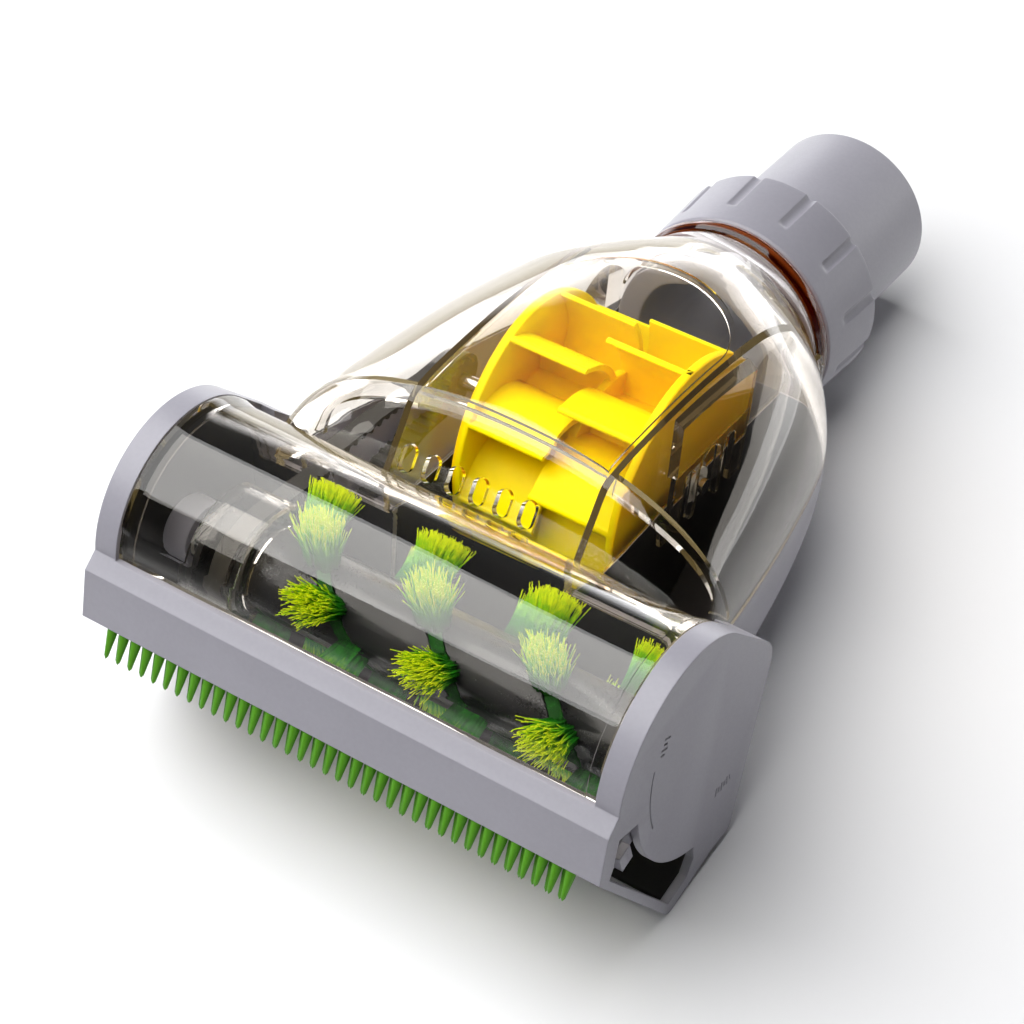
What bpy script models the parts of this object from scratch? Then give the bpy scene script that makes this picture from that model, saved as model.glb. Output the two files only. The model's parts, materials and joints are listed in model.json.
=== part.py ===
"""Hand-held turbo brush for a vacuum cleaner.

The air stream turns a bladed wheel, a toothed belt carries the motion to the brush roller.
Everything is modelled in the neck's own frame (X along the roller, Y along the neck towards
the hose, Z up), in metres, under one empty that tilts the whole brush to the pose in which
it lies on a table: on the lower edge of its mouth and on the neck.
"""
import math

import bmesh
import bpy
import numpy as np
from mathutils import Matrix

# Running and assembly clearances
GAP = 0.0003             # between parts that touch or are seated
RUN = 0.0004             # round a part that turns
BITE = 0.0006            # how far a rib or boss reaches into the wall that carries it
SLIVER = 0.0001          # keeps faces of joined pieces from lying in one plane

# Reach of the cutters past the faces they open, and past the whole brush
NUDGE = 0.001
PAST = 0.004
OVER = 0.06
FAR = 0.2
DEEP = (-0.1, 0.1)

# Nozzle, seen from its right end: Y towards the hose, Z up
WIDTH = 0.135            # over both side plates
HALF = WIDTH / 2
END_BAND = 0.0058        # width of the arch at each end
SHELL = 0.0020           # wall of the grey housing
BAR_FACE_Z = -0.0154     # lowest edge of the front bar, at Y = 0
BAR_CHAMFER = ((0.0017, -0.0032), (0.0053, 0.0002))
ARCH_Y = 0.0313          # centre of the end arches and of the clear dome
ARCH_Z = -0.0012
ARCH_RADIUS = 0.0260
ARCH_END_ANGLE = 48.0    # degrees, where the arch runs out into the rear shoulder
SHOULDER = (0.0676, 0.0011, 0.0090)      # corner and its rounding
REAR_FOOT = (0.0570, -0.0466, 0.0026)
REAR_NOTCH = (0.0500, -0.0469, 0.0060)
SOLE_CORNER = (0.0322, -0.0530, 0.0034)
BAR_FOOT_LENGTH = 0.0062 # flat under the front bar that holds the comb, along the mouth
BAR_FOOT_DEPTH = 0.0050
MOUTH_CUT = 3 * SHELL    # depth of the cutter that opens the mouth
MOUTH_REAR_RIM = 0.0046  # sole left at the rear of the mouth
MOUTH_SIDE_RIM = 0.0008  # and at both ends
PARTITION_Y = 0.0566     # wall behind the roller
DUCT_HALF = 0.0242       # half width of the air duct that holds the turbine
DUCT_WALL = 0.0016
CHAMBER_END = 0.1440     # rear end of the chambers beside the duct

# Finger window in the right side plate
WINDOW_RIM = 0.0019
WINDOW_REAR_RIM = 0.0023
WINDOW_ENDS = (0.0037, 0.0036)           # sole left before and behind its lower edge
WINDOW_FRONT_EDGE = ((0.0063, -0.0072), (0.0050, -0.0143))
WINDOW_REAR_STEP = (0.0075, 0.0022)      # from the lower edge to the rear one
WINDOW_REAR_CORNER = (0.0412, -0.0425)
WINDOW_LOBE = (0.0500, -0.0030, 0.0367)  # centre and radius of its curved upper edge
WINDOW_LOBE_SPAN = (-105.0, -171.3)      # degrees

# Hose end: everything is sized from the spigot that the collar and the tube turn on
SPIGOT_RADIUS = 0.0243
NECK_RADIUS = SPIGOT_RADIUS + 0.0016
NECK_MOUTH = SPIGOT_RADIUS + 0.0022      # end of the bell and hull

# Bell and hull: distance along the neck, half width, height, depth, squareness above, below
STATIONS = (
    (0.0490, HALF - 0.0105, 0.0070, 0.0405, 2.6, 4.0),
    (0.0530, HALF - 0.0100, 0.0130, 0.0410, 2.6, 4.0),
    (0.0580, HALF - 0.0100, 0.0215, 0.0412, 2.5, 4.0),
    (0.0640, HALF - 0.0105, 0.0304, 0.0405, 2.3, 4.0),
    (0.0780, HALF - 0.0120, 0.0330, 0.0395, 2.2, 3.8),
    (0.1020, HALF - 0.0157, 0.0342, 0.0383, 2.2, 3.6),
    (0.1270, HALF - 0.0215, 0.0331, 0.0352, 2.2, 3.2),
    (0.1400, NECK_MOUTH + 0.0127, NECK_MOUTH + 0.0047, NECK_MOUTH + 0.0053, 2.1, 2.7),
    (0.1500, NECK_MOUTH + 0.0051, NECK_MOUTH + 0.0019, NECK_MOUTH + 0.0020, 2.0, 2.1),
    (0.1560, NECK_MOUTH, NECK_MOUTH, NECK_MOUTH, 2.0, 2.0),
)
RING_SPACING = 0.0095    # widest spacing of the rings that bell and hull are skinned over
BELL_END = 0.1575        # where bell and hull meet the neck
NECK_END = 0.1590
NECK_LEAD = 0.0030       # neck in front of the spigot
NECK_TAPER = 0.0004
BORE_FRONT = 0.1500
COVER = 0.0018           # wall of the clear cover
COVER_SET = 0.0008       # how far the dome lies below the arches
PART_GAP = 0.00015       # half the gap at the parting plane
DOME_LIP = 0.0030        # thicker band at each end of the dome
DOME_LIP_WALL = 0.0024
DOME_DIP = 1.0           # degrees that its room reaches below the centre of its arch

# Ribs, vents and clips of the clear cover
ARCH_RIB_Y = 0.0662      # cross rib inside the side chambers
ARCH_RIB_DEPTH = 0.0034
ARCH_RIB_THICK = 0.0012
ARCH_RIB_BASE = 0.0020   # its foot, above the parting plane
VENT_COUNT = 6
VENT_PITCH = 0.0063
VENT_FIRST_X = -0.0205
VENT_WIDTH = 0.0036
VENT_LENGTH = 0.0066
VENT_Z = 0.0165          # height of the row on the ramp
VENT_DEPTH = 0.0050      # reach of its cutter to either side of the skin
CLIP_WIDTH = 0.0027
CLIP_THICK = 0.0015
CLIP_RISE = 0.0040
CLIP_DROP = 0.0034
CLIP_LEAN = 0.0016       # how far its top leans onto the neck
CLIP_TIP = 0.0022        # thickness of the top
CLIP_KNEE = 0.0010       # height at which it starts to lean
BRACKET_X = DUCT_HALF + DUCT_WALL + 0.0010   # slotted bracket beside the duct's right wall
BRACKET_THICK = 0.0015
BRACKET_Y = (0.0900, 0.1220)
BRACKET_DROP = 0.0075
BRACKET_FOOT = (0.0100, 0.0120)          # where its plate starts, and its fingers end
BRACKET_SLOT = 0.0046
BRACKET_SLOT_PITCH = 0.0088
BRACKET_SLOT_TOP = 0.0060
BRACKET_SKIN_BASE = -0.0300

# Roller
ROLLER_AXIS = (0.0315, -0.0090)
BRISTLE_RADIUS = 0.0242
CORE_RADIUS = 0.0102
CORE_HALF = HALF - 0.0115
FLANGE_RADIUS = 0.0140
FLANGE_THICK = 0.0016
FLANGE_X = 0.0175 - HALF
JOURNAL_RADIUS = 0.0028
JOURNAL_SLEEVE = 0.0018  # thicker journal that carries the pulley
BUSH_WALL = 0.0022
BUSH_LENGTH = 0.0050
BOSS_WALL = 0.0024
BOSS_LENGTH = 0.0066
SPIRAL_PITCH = 0.060
SPIRAL_START = 1.15      # angle of the first strip at X = 0, radians
STRIP_WIDTH = 0.0042
STRIP_DEPTH = 0.0014
STRIP_END = 0.0030       # strip left beyond its first and last tuft
TUFTS_IN_ROW = 12
TUFT_FIRST_X = 0.0345 - HALF
TUFT_LAST_X = HALF - 0.0155
TUFT_ROOT = 0.0011
TUFT_TIP = 0.0030
TUFT_SIDES = 6

# Belt drive
BELT_X = 0.0230 - HALF
BELT_WIDTH = 0.0050
BELT_THICK = 0.0010
BELT_TOOTH = 0.0009
BELT_PITCH = 0.0030
BELT_PLAIN = 0.0080      # length without teeth on each straight run
BELT_TOOTH_SHAPE = ((0.25, 0.0), (0.35, 1.0), (0.65, 1.0), (0.75, 0.0))      # pitch, height
PULLEY_TOOTH_SHAPE = ((0.02, 0.0), (0.44, 0.0), (0.54, 1.0), (0.92, 1.0))
DRIVE_TEETH = 12
ROLLER_TEETH = 24
PULLEY_FLANK = 0.0007
PULLEY_WIDTH = 0.0060
BELT_SLOT_HALF = 0.0042  # slot in the wall behind the roller that lets the belt through
BELT_SLOT_LOW = -0.0225
BELT_SLOT_HIGH = 0.0075
BELT_SLOT_Y = (0.0505, PARTITION_Y + 0.0025)     # reach of the slot in the cover
GUARD_WALL = 0.0012
GUARD_CLEAR = 0.0022
GUARD_X = (0.0150 - HALF, 0.0293 - HALF)
GUARD_SPAN = (235.0, 62.0)               # degrees, from the front of the mouth over the top
GUARD_FOOT = (-0.0010, -0.0100)          # height of the cheek's rear edge
GUARD_RUN = 0.0010
GUARD_CHEEK_SPAN = (20.0, -40.0)         # degrees, where the cheek's edge leaves both arcs

# Turbine
TURBINE_Y = 0.1056
TURBINE_Z = -0.0024
TURBINE_RADIUS = 0.0304
TURBINE_HALF = DUCT_HALF - 0.0027
HUB_RADIUS = 0.0125
HUB_WEB = 0.0055         # ring between the rows, beyond the hub
DISC_THICK = 0.0015
BLADES = 9
BLADE_THICK = 0.0014
BLADE_LEAN = 32.0        # degrees between the blade's root and tip
BLADE_BOW = 1.5          # power of the way from root to tip that the lean follows
BLADE_SHORT = 0.0006     # between the blades' tips and the discs' rims
BLADE_INTO = 0.0004      # into the disc
BLADE_PAST = 0.3 * DISC_THICK            # past the middle of the web
SHAFT_RADIUS = 0.0020
BEARING_RADIUS = 0.0042
BEARING_LENGTH = 0.0046
BEARING_FLANGE = 0.0011
BEARING_FLANGE_THICK = 0.0008
BEARING_SHORT = 0.0012   # the right one ends before the bracket
SHAFT_STUB = 0.0008      # shaft left beyond the right bearing's seat

# Neck, ring, collar and tube
SPIGOT_WALL = 0.0023
SPIGOT_FRONT = 0.1535
SPIGOT_END = 0.1765
RING_LENGTH = 0.0036
RING_RADIUS = SPIGOT_RADIUS + 0.0029
RING_CHAMFERS = ((0.0012, 0.0008), (0.0008, 0.0006))     # along, down: front and rear
COLLAR_LENGTH = 0.0215
COLLAR_FRONT_RADIUS = RING_RADIUS
COLLAR_REAR_RADIUS = RING_RADIUS + 0.0010
COLLAR_CHAMFER = 0.0010
COLLAR_LIP = 0.0055
FLUTES = 12
FLUTE_LENGTH = 0.0150
FLUTE_RADIUS = 0.0018
FLUTE_SINK = 0.0008
FLUTE_POINT = 0.3        # share of its radius at which a flute starts
TUBE_RADIUS = SPIGOT_RADIUS - 0.0029
TUBE_BORE = TUBE_RADIUS - 0.0038
TUBE_BORE_INNER = TUBE_RADIUS - 0.0044
TUBE_STOP_RADIUS = TUBE_RADIUS - 0.0042
TUBE_SOCKET = 0.0360     # how far the wand goes in
TUBE_CHAMFER = 0.0006
TUBE_LEAD = 0.0008
TUBE_END = 0.2222
TUBE_FRONT = 0.1485
TUBE_FLANGE = SPIGOT_RADIUS - 0.0009
TUBE_FLANGE_LENGTH = 0.0030

# Comb
COMB_TEETH = 37
COMB_ROWS = 2
COMB_ROW_STEP = 0.0026
COMB_TOOTH_LENGTH = 0.0068
COMB_TOOTH_RADIUS = 0.0010
COMB_TIP_RADIUS = 0.0004
COMB_END = 0.0045        # between the strip's end and the side of the brush
COMB_FIRST = 0.0030      # strip beyond its first and last tooth
COMB_BASE_WIDTH = 0.0046
COMB_BASE_DEPTH = 0.0022

# Roller lock
LOCK_DISC = 0.0105
LOCK_THICK = 0.0016
LOCK_ARM_WIDTH = 0.0056
LOCK_REACH = 0.0242
LOCK_ANGLE = -160.0      # degrees, direction of the arm when locked
LOCK_TRAVEL = 20.0
LOCK_TAB = 0.0040
LOCK_SIDE_ROOM = 0.0007
LOCK_GUIDE_WALL = 0.0018

INSIDE = HALF - SHELL
DOME_RADIUS = ARCH_RADIUS - COVER_SET
DOME_HALF = HALF - END_BAND - GAP
MATERIALS = {
    "grey_plastic": ((0.46, 0.45, 0.50, 1.0), 0.42, 0.0, 1.0),
    "clear_smoke": ((0.72, 0.66, 0.58, 1.0), 0.08, 0.0, 0.35),
    "clear_amber": ((0.62, 0.33, 0.06, 1.0), 0.10, 0.0, 0.55),
    "yellow_plastic": ((1.0, 0.66, 0.0, 1.0), 0.45, 0.0, 1.0),
    "green_rubber": ((0.12, 0.36, 0.03, 1.0), 0.55, 0.0, 1.0),
    "green_bristle": ((0.42, 0.72, 0.02, 1.0), 0.60, 0.0, 1.0),
    "black_plastic": ((0.012, 0.012, 0.014, 1.0), 0.40, 0.0, 1.0),
    "black_rubber": ((0.020, 0.020, 0.020, 1.0), 0.70, 0.0, 1.0),
    "steel": ((0.62, 0.62, 0.64, 1.0), 0.25, 1.0, 1.0),
    "white_bush": ((0.75, 0.75, 0.72, 1.0), 0.50, 0.0, 1.0),
}


def clear_scene():
    for thing in list(bpy.data.objects):
        bpy.data.objects.remove(thing, do_unlink=True)


def finish(name):
    """A Principled material from the table above."""
    if name in bpy.data.materials:
        return bpy.data.materials[name]
    colour, roughness, metallic, alpha = MATERIALS[name]
    material = bpy.data.materials.new(name)
    material.use_nodes = True
    shader = material.node_tree.nodes["Principled BSDF"]
    shader.inputs["Base Color"].default_value = colour
    shader.inputs["Roughness"].default_value = roughness
    shader.inputs["Metallic"].default_value = metallic
    shader.inputs["Alpha"].default_value = alpha
    return material


def add_solid(name, verts, faces, material, smooth=30.0):
    """A closed mesh object, faces turned outwards, parented to the resting frame."""
    mesh = bpy.data.meshes.new(name)
    mesh.from_pydata([tuple(v) for v in verts], [], [tuple(f) for f in faces])
    work = bmesh.new()
    work.from_mesh(mesh)
    bmesh.ops.recalc_face_normals(work, faces=work.faces)
    work.to_mesh(mesh)
    work.free()
    solid = bpy.data.objects.new(name, mesh)
    bpy.context.collection.objects.link(solid)
    solid.parent = bpy.data.objects["resting_frame"]
    mesh.shade_smooth()
    mesh.set_sharp_from_angle(angle=math.radians(smooth))
    if material:
        mesh.materials.append(finish(material))
    else:
        solid.hide_render = True
        solid.display_type = "WIRE"
    return solid


def combine(solid, tool, operation):
    step = solid.modifiers.new(operation.lower(), "BOOLEAN")
    step.operation = operation
    step.object = tool
    step.solver = "EXACT"


def cut(solid, *tools):
    for tool in tools:
        combine(solid, tool, "DIFFERENCE")


def join(solid, *tools):
    for tool in tools:
        combine(solid, tool, "UNION")


def keep(solid, tool):
    combine(solid, tool, "INTERSECT")


def loft(name, rings, material):
    """Skin over rings with the same number of points, closed by a flat cap at each end."""
    count = len(rings[0])
    verts = [point for ring in rings for point in ring]
    faces = [tuple(range(count)), tuple(range(len(verts) - count, len(verts)))]
    for row in range(len(rings) - 1):
        start = row * count
        for i in range(count):
            j = (i + 1) % count
            faces.append((start + i, start + j, start + count + j, start + count + i))
    return add_solid(name, verts, faces, material)


def prism(name, outline, x_low, x_high, material=None):
    """A Y-Z outline carried along X."""
    rings = [[(x, y, z) for y, z in outline] for x in (x_low, x_high)]
    return loft(name, rings, material)


def box(name, x_range, y_range, z_range, material=None):
    (y0, y1), (z0, z1) = y_range, z_range
    return prism(name, [(y0, z0), (y1, z0), (y1, z1), (y0, z1)], *x_range, material)


def turn(name, profile, centre, axis, material=None, steps=48):
    """A closed profile of (distance along the axis, radius) turned round the X or Y axis."""
    rings = []
    for i in range(steps):
        angle = 2 * math.pi * i / steps
        c, s = math.cos(angle), math.sin(angle)
        if axis == "X":
            ring = [(a, centre[0] + r * c, centre[1] + r * s) for a, r in profile]
        else:
            ring = [(centre[0] + r * c, a, centre[1] + r * s) for a, r in profile]
        rings.append(ring)
    if min(r for _, r in profile) < 1e-9:
        raise ValueError("turn needs a profile that stays off the axis")
    count = len(profile)
    verts = [point for ring in rings for point in ring]
    faces = []
    for i in range(steps):
        a, b = i * count, ((i + 1) % steps) * count
        for k in range(count):
            n = (k + 1) % count
            faces.append((a + k, a + n, b + n, b + k))
    return add_solid(name, verts, faces, material)


def rod(name, steps_of_rod, centre, axis, material=None, steps=32):
    """A solid turned piece from (distance along the axis, radius) pairs, capped at both ends."""
    rings = []
    for a, r in steps_of_rod:
        angles = [2 * math.pi * i / steps for i in range(steps)]
        if axis == "X":
            rings.append([(a, centre[0] + r * math.cos(t), centre[1] + r * math.sin(t))
                          for t in angles])
        else:
            rings.append([(centre[0] + r * math.cos(t), a, centre[1] + r * math.sin(t))
                          for t in angles])
    return loft(name, rings, material)


def arc(centre, radius, start, end, steps):
    """Points on a circle between two angles in degrees, both ends included."""
    angles = np.radians(np.linspace(start, end, steps + 1))
    return [(centre[0] + radius * math.cos(t), centre[1] + radius * math.sin(t)) for t in angles]


def rounded(corners, steps=5):
    """An outline whose corners (y, z, radius) are replaced by arcs of that radius."""
    outline = []
    for i, corner in enumerate(corners):
        here = np.array(corner[:2])
        radius = corner[2] if len(corner) > 2 else 0.0
        if radius == 0.0:
            outline.append(tuple(here))
            continue
        before = np.array(corners[i - 1][:2]) - here
        after = np.array(corners[(i + 1) % len(corners)][:2]) - here
        before, after = before / np.linalg.norm(before), after / np.linalg.norm(after)
        half = math.acos(max(-1.0, min(1.0, float(before @ after)))) / 2
        bisector = (before + after) / np.linalg.norm(before + after)
        middle = here + bisector * radius / math.sin(half)
        first = here + before * radius / math.tan(half) - middle
        last = here + after * radius / math.tan(half) - middle
        start, end = math.atan2(first[1], first[0]), math.atan2(last[1], last[0])
        sweep = (end - start + math.pi) % (2 * math.pi) - math.pi
        outline += [tuple(middle + radius * np.array((math.cos(t), math.sin(t))))
                    for t in start + sweep * np.linspace(0, 1, steps + 1)]
    return outline


def inset(outline, depth):
    """The outline moved inwards by a depth, corner by corner."""
    points = np.array(outline)
    area = np.sum(points[:, 0] * np.roll(points[:, 1], -1) - np.roll(points[:, 0], -1) * points[:, 1])
    side = 1.0 if area > 0 else -1.0
    ahead = np.roll(points, -1, axis=0) - points
    ahead /= np.linalg.norm(ahead, axis=1)[:, None]
    behind = np.roll(ahead, 1, axis=0)
    normal_a = side * np.column_stack((-ahead[:, 1], ahead[:, 0]))
    normal_b = side * np.column_stack((-behind[:, 1], behind[:, 0]))
    middle = normal_a + normal_b
    middle /= np.linalg.norm(middle, axis=1)[:, None]
    reach = depth / np.sum(middle * normal_a, axis=1)
    return [tuple(p) for p in points + middle * reach[:, None]]


# Driving lines of the nozzle, worked out from the sizes above
FRONT_FOOT = np.array((0.0, BAR_FACE_Z))
SOLE_LINE = np.array(SOLE_CORNER[:2]) - FRONT_FOOT
SOLE_LENGTH = float(np.linalg.norm(SOLE_LINE))
SOLE_ALONG = SOLE_LINE / SOLE_LENGTH
SOLE_IN = np.array((-SOLE_ALONG[1], SOLE_ALONG[0]))


def sole_point(along, inwards):
    """A point measured along the mouth from the front bar, and inwards from it."""
    return tuple(FRONT_FOOT + SOLE_ALONG * along + SOLE_IN * inwards)


def side_outline():
    """The end plate: front bar, chamfer, arch, rear shoulder, foot and mouth edge."""
    arch = arc((ARCH_Y, ARCH_Z), ARCH_RADIUS, 177.0, ARCH_END_ANGLE, 18)
    rear = rounded([arch[-1], SHOULDER, REAR_FOOT, REAR_NOTCH, SOLE_CORNER, (0.0, BAR_FACE_Z)])
    return [(0.0, BAR_FACE_Z), BAR_CHAMFER[0]] + arch + rear[1:-1]


def station(y, grow=0.0):
    """Half width, height, depth and both squarenesses of the bell at a distance y.

    Between the stations each value follows a cubic whose slopes are the mean of the
    slopes on either side, and is level where they change sign.
    """
    table = np.array(STATIONS)
    at = table[:, 0]
    y = min(max(y, at[0]), at[-1])
    slope = np.diff(table[:, 1:], axis=0) / np.diff(at)[:, None]
    inner = np.where(slope[1:] * slope[:-1] > 0, 2 * slope[1:] * slope[:-1]
                     / np.where(slope[1:] + slope[:-1] == 0, 1, slope[1:] + slope[:-1]), 0.0)
    knots = np.vstack((slope[0], inner, slope[-1]))
    i = int(min(np.searchsorted(at, y, side="right") - 1, len(at) - 2))
    span = at[i + 1] - at[i]
    t = (y - at[i]) / span
    low, high = table[i, 1:], table[i + 1, 1:]
    value = ((2 * t ** 3 - 3 * t ** 2 + 1) * low + (t ** 3 - 2 * t ** 2 + t) * span * knots[i]
             + (3 * t ** 2 - 2 * t ** 3) * high + (t ** 3 - t ** 2) * span * knots[i + 1])
    value[:3] += grow
    return value


def eroded(y, wall):
    """The bell's section at y with its wall taken off, also where the skin is steep."""
    near = np.array([station(y + step * wall * 0.75) for step in (-1, 0, 1)])
    value = station(y)
    value[:3] = near[:, :3].min(axis=0) - wall
    return value


def half_ring(y, values, above, base, points):
    """One half of the bell's section: a superellipse above or below the parting plane."""
    width, height, depth, square_top, square_low = values
    power = 2.0 / (square_top if above else square_low)
    rise = height if above else depth
    ring = []
    for t in np.linspace(0, math.pi, points):
        c, s = math.cos(t), math.sin(t)
        x = width * math.copysign(abs(c) ** power, c)
        z = base + (rise - base) * abs(s) ** power
        ring.append((x, y, z if above else -z))
    return ring


def ring_places(front, rear):
    """The stations between two ends, with more rings where they lie far apart."""
    ends = [row[0] for row in STATIONS]
    places = []
    for a, b in zip(ends, ends[1:]):
        places += list(np.linspace(a, b, math.ceil((b - a) / RING_SPACING) + 1)[:-1])
    places.append(ends[-1])
    return [front] + [y for y in places if front + NUDGE < y < rear - NUDGE] + [rear]


def bell(name, above, wall=0.0, grow=0.0, base=PART_GAP, front=STATIONS[0][0], rear=BELL_END,
         points=19):
    """The bell above or the hull below the parting plane, or the room inside it."""
    rings = []
    for y in ring_places(front, rear):
        values = eroded(y, wall) if wall else station(y, grow)
        rings.append(half_ring(y, values, above, base, points))
    return loft(name, rings, None)


def mirrored_boxes(name, x_range, y_range, z_range):
    """The same box at both sides, as two tools."""
    low, high = x_range
    return (box(name + "_right", (low, high), y_range, z_range),
            box(name + "_left", (-high, -low), y_range, z_range))


def housing_room():
    """The hollow of the grey housing: roller room, side chambers and air duct."""
    outline = inset(side_outline(), SHELL)
    room = prism("room_of_nozzle", outline, -INSIDE, INSIDE)
    foot = [sole_point(-PAST, -PAST), sole_point(BAR_FOOT_LENGTH, -PAST),
            sole_point(BAR_FOOT_LENGTH, BAR_FOOT_DEPTH), sole_point(-PAST, BAR_FOOT_DEPTH)]
    cut(room, prism("room_foot", foot, -HALF, HALF))
    hull = bell("room_of_hull", False, wall=SHELL, base=-PAST, front=PARTITION_Y - PAST,
                rear=NECK_END + PAST)
    join(room, hull)
    cut(room, *mirrored_boxes("room_partition", (DUCT_HALF, HALF + PAST),
                              (PARTITION_Y, PARTITION_Y + COVER), DEEP))
    cut(room, *mirrored_boxes("room_duct_wall", (DUCT_HALF, DUCT_HALF + DUCT_WALL),
                              (PARTITION_Y + GAP, FAR), DEEP))
    cut(room, *mirrored_boxes("room_chamber_end", (DUCT_HALF + GAP, HALF), (CHAMBER_END, FAR),
                              DEEP))
    return room


def window_outline():
    """The finger window of the right plate: rims along the bar and mouth, a curved top."""
    lobe_y, lobe_z, lobe_r = WINDOW_LOBE
    low_front = sole_point(WINDOW_ENDS[0], WINDOW_RIM)
    low_rear = sole_point(SOLE_LENGTH - WINDOW_ENDS[1], WINDOW_REAR_RIM)
    rear = [(low_rear[0] + WINDOW_REAR_STEP[0], low_rear[1] + WINDOW_REAR_STEP[1]),
            WINDOW_REAR_CORNER]
    curve = arc((lobe_y, lobe_z), lobe_r, *WINDOW_LOBE_SPAN, 12)
    front = list(WINDOW_FRONT_EDGE)
    return [low_front, low_rear] + rear + curve + front


def build_housing():
    housing = prism("lower_housing", side_outline(), -HALF, HALF, "grey_plastic")
    dome_rear = ARCH_Y + DOME_RADIUS + GAP
    cut(housing, box("dome_seat", (-HALF + END_BAND, HALF - END_BAND), (-OVER, dome_rear),
                     (-PART_GAP, OVER)))
    widest = max(row[1] for row in STATIONS) + GAP
    cut(housing, box("bell_seat", (-widest, widest), (ARCH_Y, FAR), (-PART_GAP, OVER)))
    join(housing, bell("hull", False))
    cut(housing, housing_room())
    join(housing, half_neck("neck_lower", (-PART_GAP, OVER)))
    spigot = turn("spigot", [(SPIGOT_FRONT, SPIGOT_RADIUS), (SPIGOT_END, SPIGOT_RADIUS),
                             (SPIGOT_END, SPIGOT_RADIUS - SPIGOT_WALL),
                             (SPIGOT_FRONT, SPIGOT_RADIUS - SPIGOT_WALL)], (0, 0), "Y")
    join(housing, spigot)
    near, far = BAR_FOOT_LENGTH + GAP, SOLE_LENGTH - MOUTH_REAR_RIM
    mouth = [sole_point(near, -PAST), sole_point(far, -PAST), sole_point(far, MOUTH_CUT),
             sole_point(near, MOUTH_CUT)]
    side = INSIDE - MOUTH_SIDE_RIM
    cut(housing, prism("mouth", mouth, -side, side))
    cut(housing, prism("window", window_outline(), INSIDE - NUDGE, HALF + NUDGE))
    cut(housing, comb_channel())
    join(housing, *bearing_rings())
    cut(housing, shaft_saddle("housing_saddle", -1))
    cut(housing, box("belt_slot", (BELT_X - BELT_SLOT_HALF, BELT_X + BELT_SLOT_HALF),
                     (PARTITION_Y - NUDGE, PARTITION_Y + COVER + NUDGE),
                     (BELT_SLOT_LOW, PAST)))
    return housing


def half_neck(name, cut_away):
    """Half of the short neck behind the bell, its inside left to the spigot."""
    front, inner = SPIGOT_FRONT - NECK_LEAD, SPIGOT_RADIUS - BITE
    neck = turn(name, [(front, inner), (front, NECK_RADIUS - NECK_TAPER), (NECK_END, NECK_RADIUS),
                       (NECK_END, inner)], (0, 0), "Y")
    cut(neck, box(name + "_half", (-OVER, OVER), (CHAMBER_END, SPIGOT_END), cut_away))
    return neck


def bearing_rings():
    """Rings on the side plates that hold the left bush and guide the roller lock."""
    bush = JOURNAL_RADIUS + RUN + BUSH_WALL + GAP
    left = turn("bush_ring_left", [(-INSIDE - BITE, bush), (-INSIDE - BITE, bush + BOSS_WALL),
                                   (-INSIDE + BOSS_LENGTH, bush + BOSS_WALL),
                                   (-INSIDE + BOSS_LENGTH, bush)], ROLLER_AXIS, "X", steps=32)
    guide = LOCK_DISC + GAP
    deep = LOCK_THICK + GAP
    right = turn("lock_guide", [(INSIDE + BITE, guide), (INSIDE + BITE, guide + LOCK_GUIDE_WALL),
                                (INSIDE - deep, guide + LOCK_GUIDE_WALL),
                                (INSIDE - deep, guide)], ROLLER_AXIS, "X", steps=32)
    slot = lock_arm_outline(LOCK_REACH, LOCK_ARM_WIDTH + 2 * LOCK_SIDE_ROOM)
    for i, part_way in enumerate((0.0, 0.5, 1.0)):
        outline = [rotate_about(ROLLER_AXIS, p, part_way * LOCK_TRAVEL) for p in slot]
        cut(right, prism(f"lock_guide_slot_{i}", outline, INSIDE - PAST, INSIDE + PAST))
    return left, right


def rotate_about(centre, point, degrees):
    t = math.radians(degrees)
    y, z = point[0] - centre[0], point[1] - centre[1]
    return (centre[0] + y * math.cos(t) - z * math.sin(t),
            centre[1] + y * math.sin(t) + z * math.cos(t))


def shaft_saddle(name, side):
    """Round seats of the turbine bearings in the duct walls, open to the parting plane."""
    reach = DUCT_HALF + DUCT_WALL + 2 * NUDGE
    radius = BEARING_RADIUS + GAP
    centre = (TURBINE_Y, TURBINE_Z)
    outline = arc(centre, radius, 180, 360, 12)
    outline += [(centre[0] + radius, -TURBINE_Z), (centre[0] - radius, -TURBINE_Z)]
    if side > 0:
        outline = arc(centre, radius, 0, 360, 24)[:-1]
    return prism(name, outline, -reach, reach)


def comb_channel():
    """The channel under the front bar that the comb strip slides into."""
    y0 = (BAR_FOOT_LENGTH - COMB_BASE_WIDTH) / 2 - GAP
    y1 = y0 + COMB_BASE_WIDTH + 2 * GAP
    depth = COMB_BASE_DEPTH + GAP
    outline = [sole_point(y0, -PAST), sole_point(y1, -PAST), sole_point(y1, depth),
               sole_point(y0, depth)]
    end = HALF - COMB_END + GAP
    return prism("comb_channel", outline, -end, end)


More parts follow.
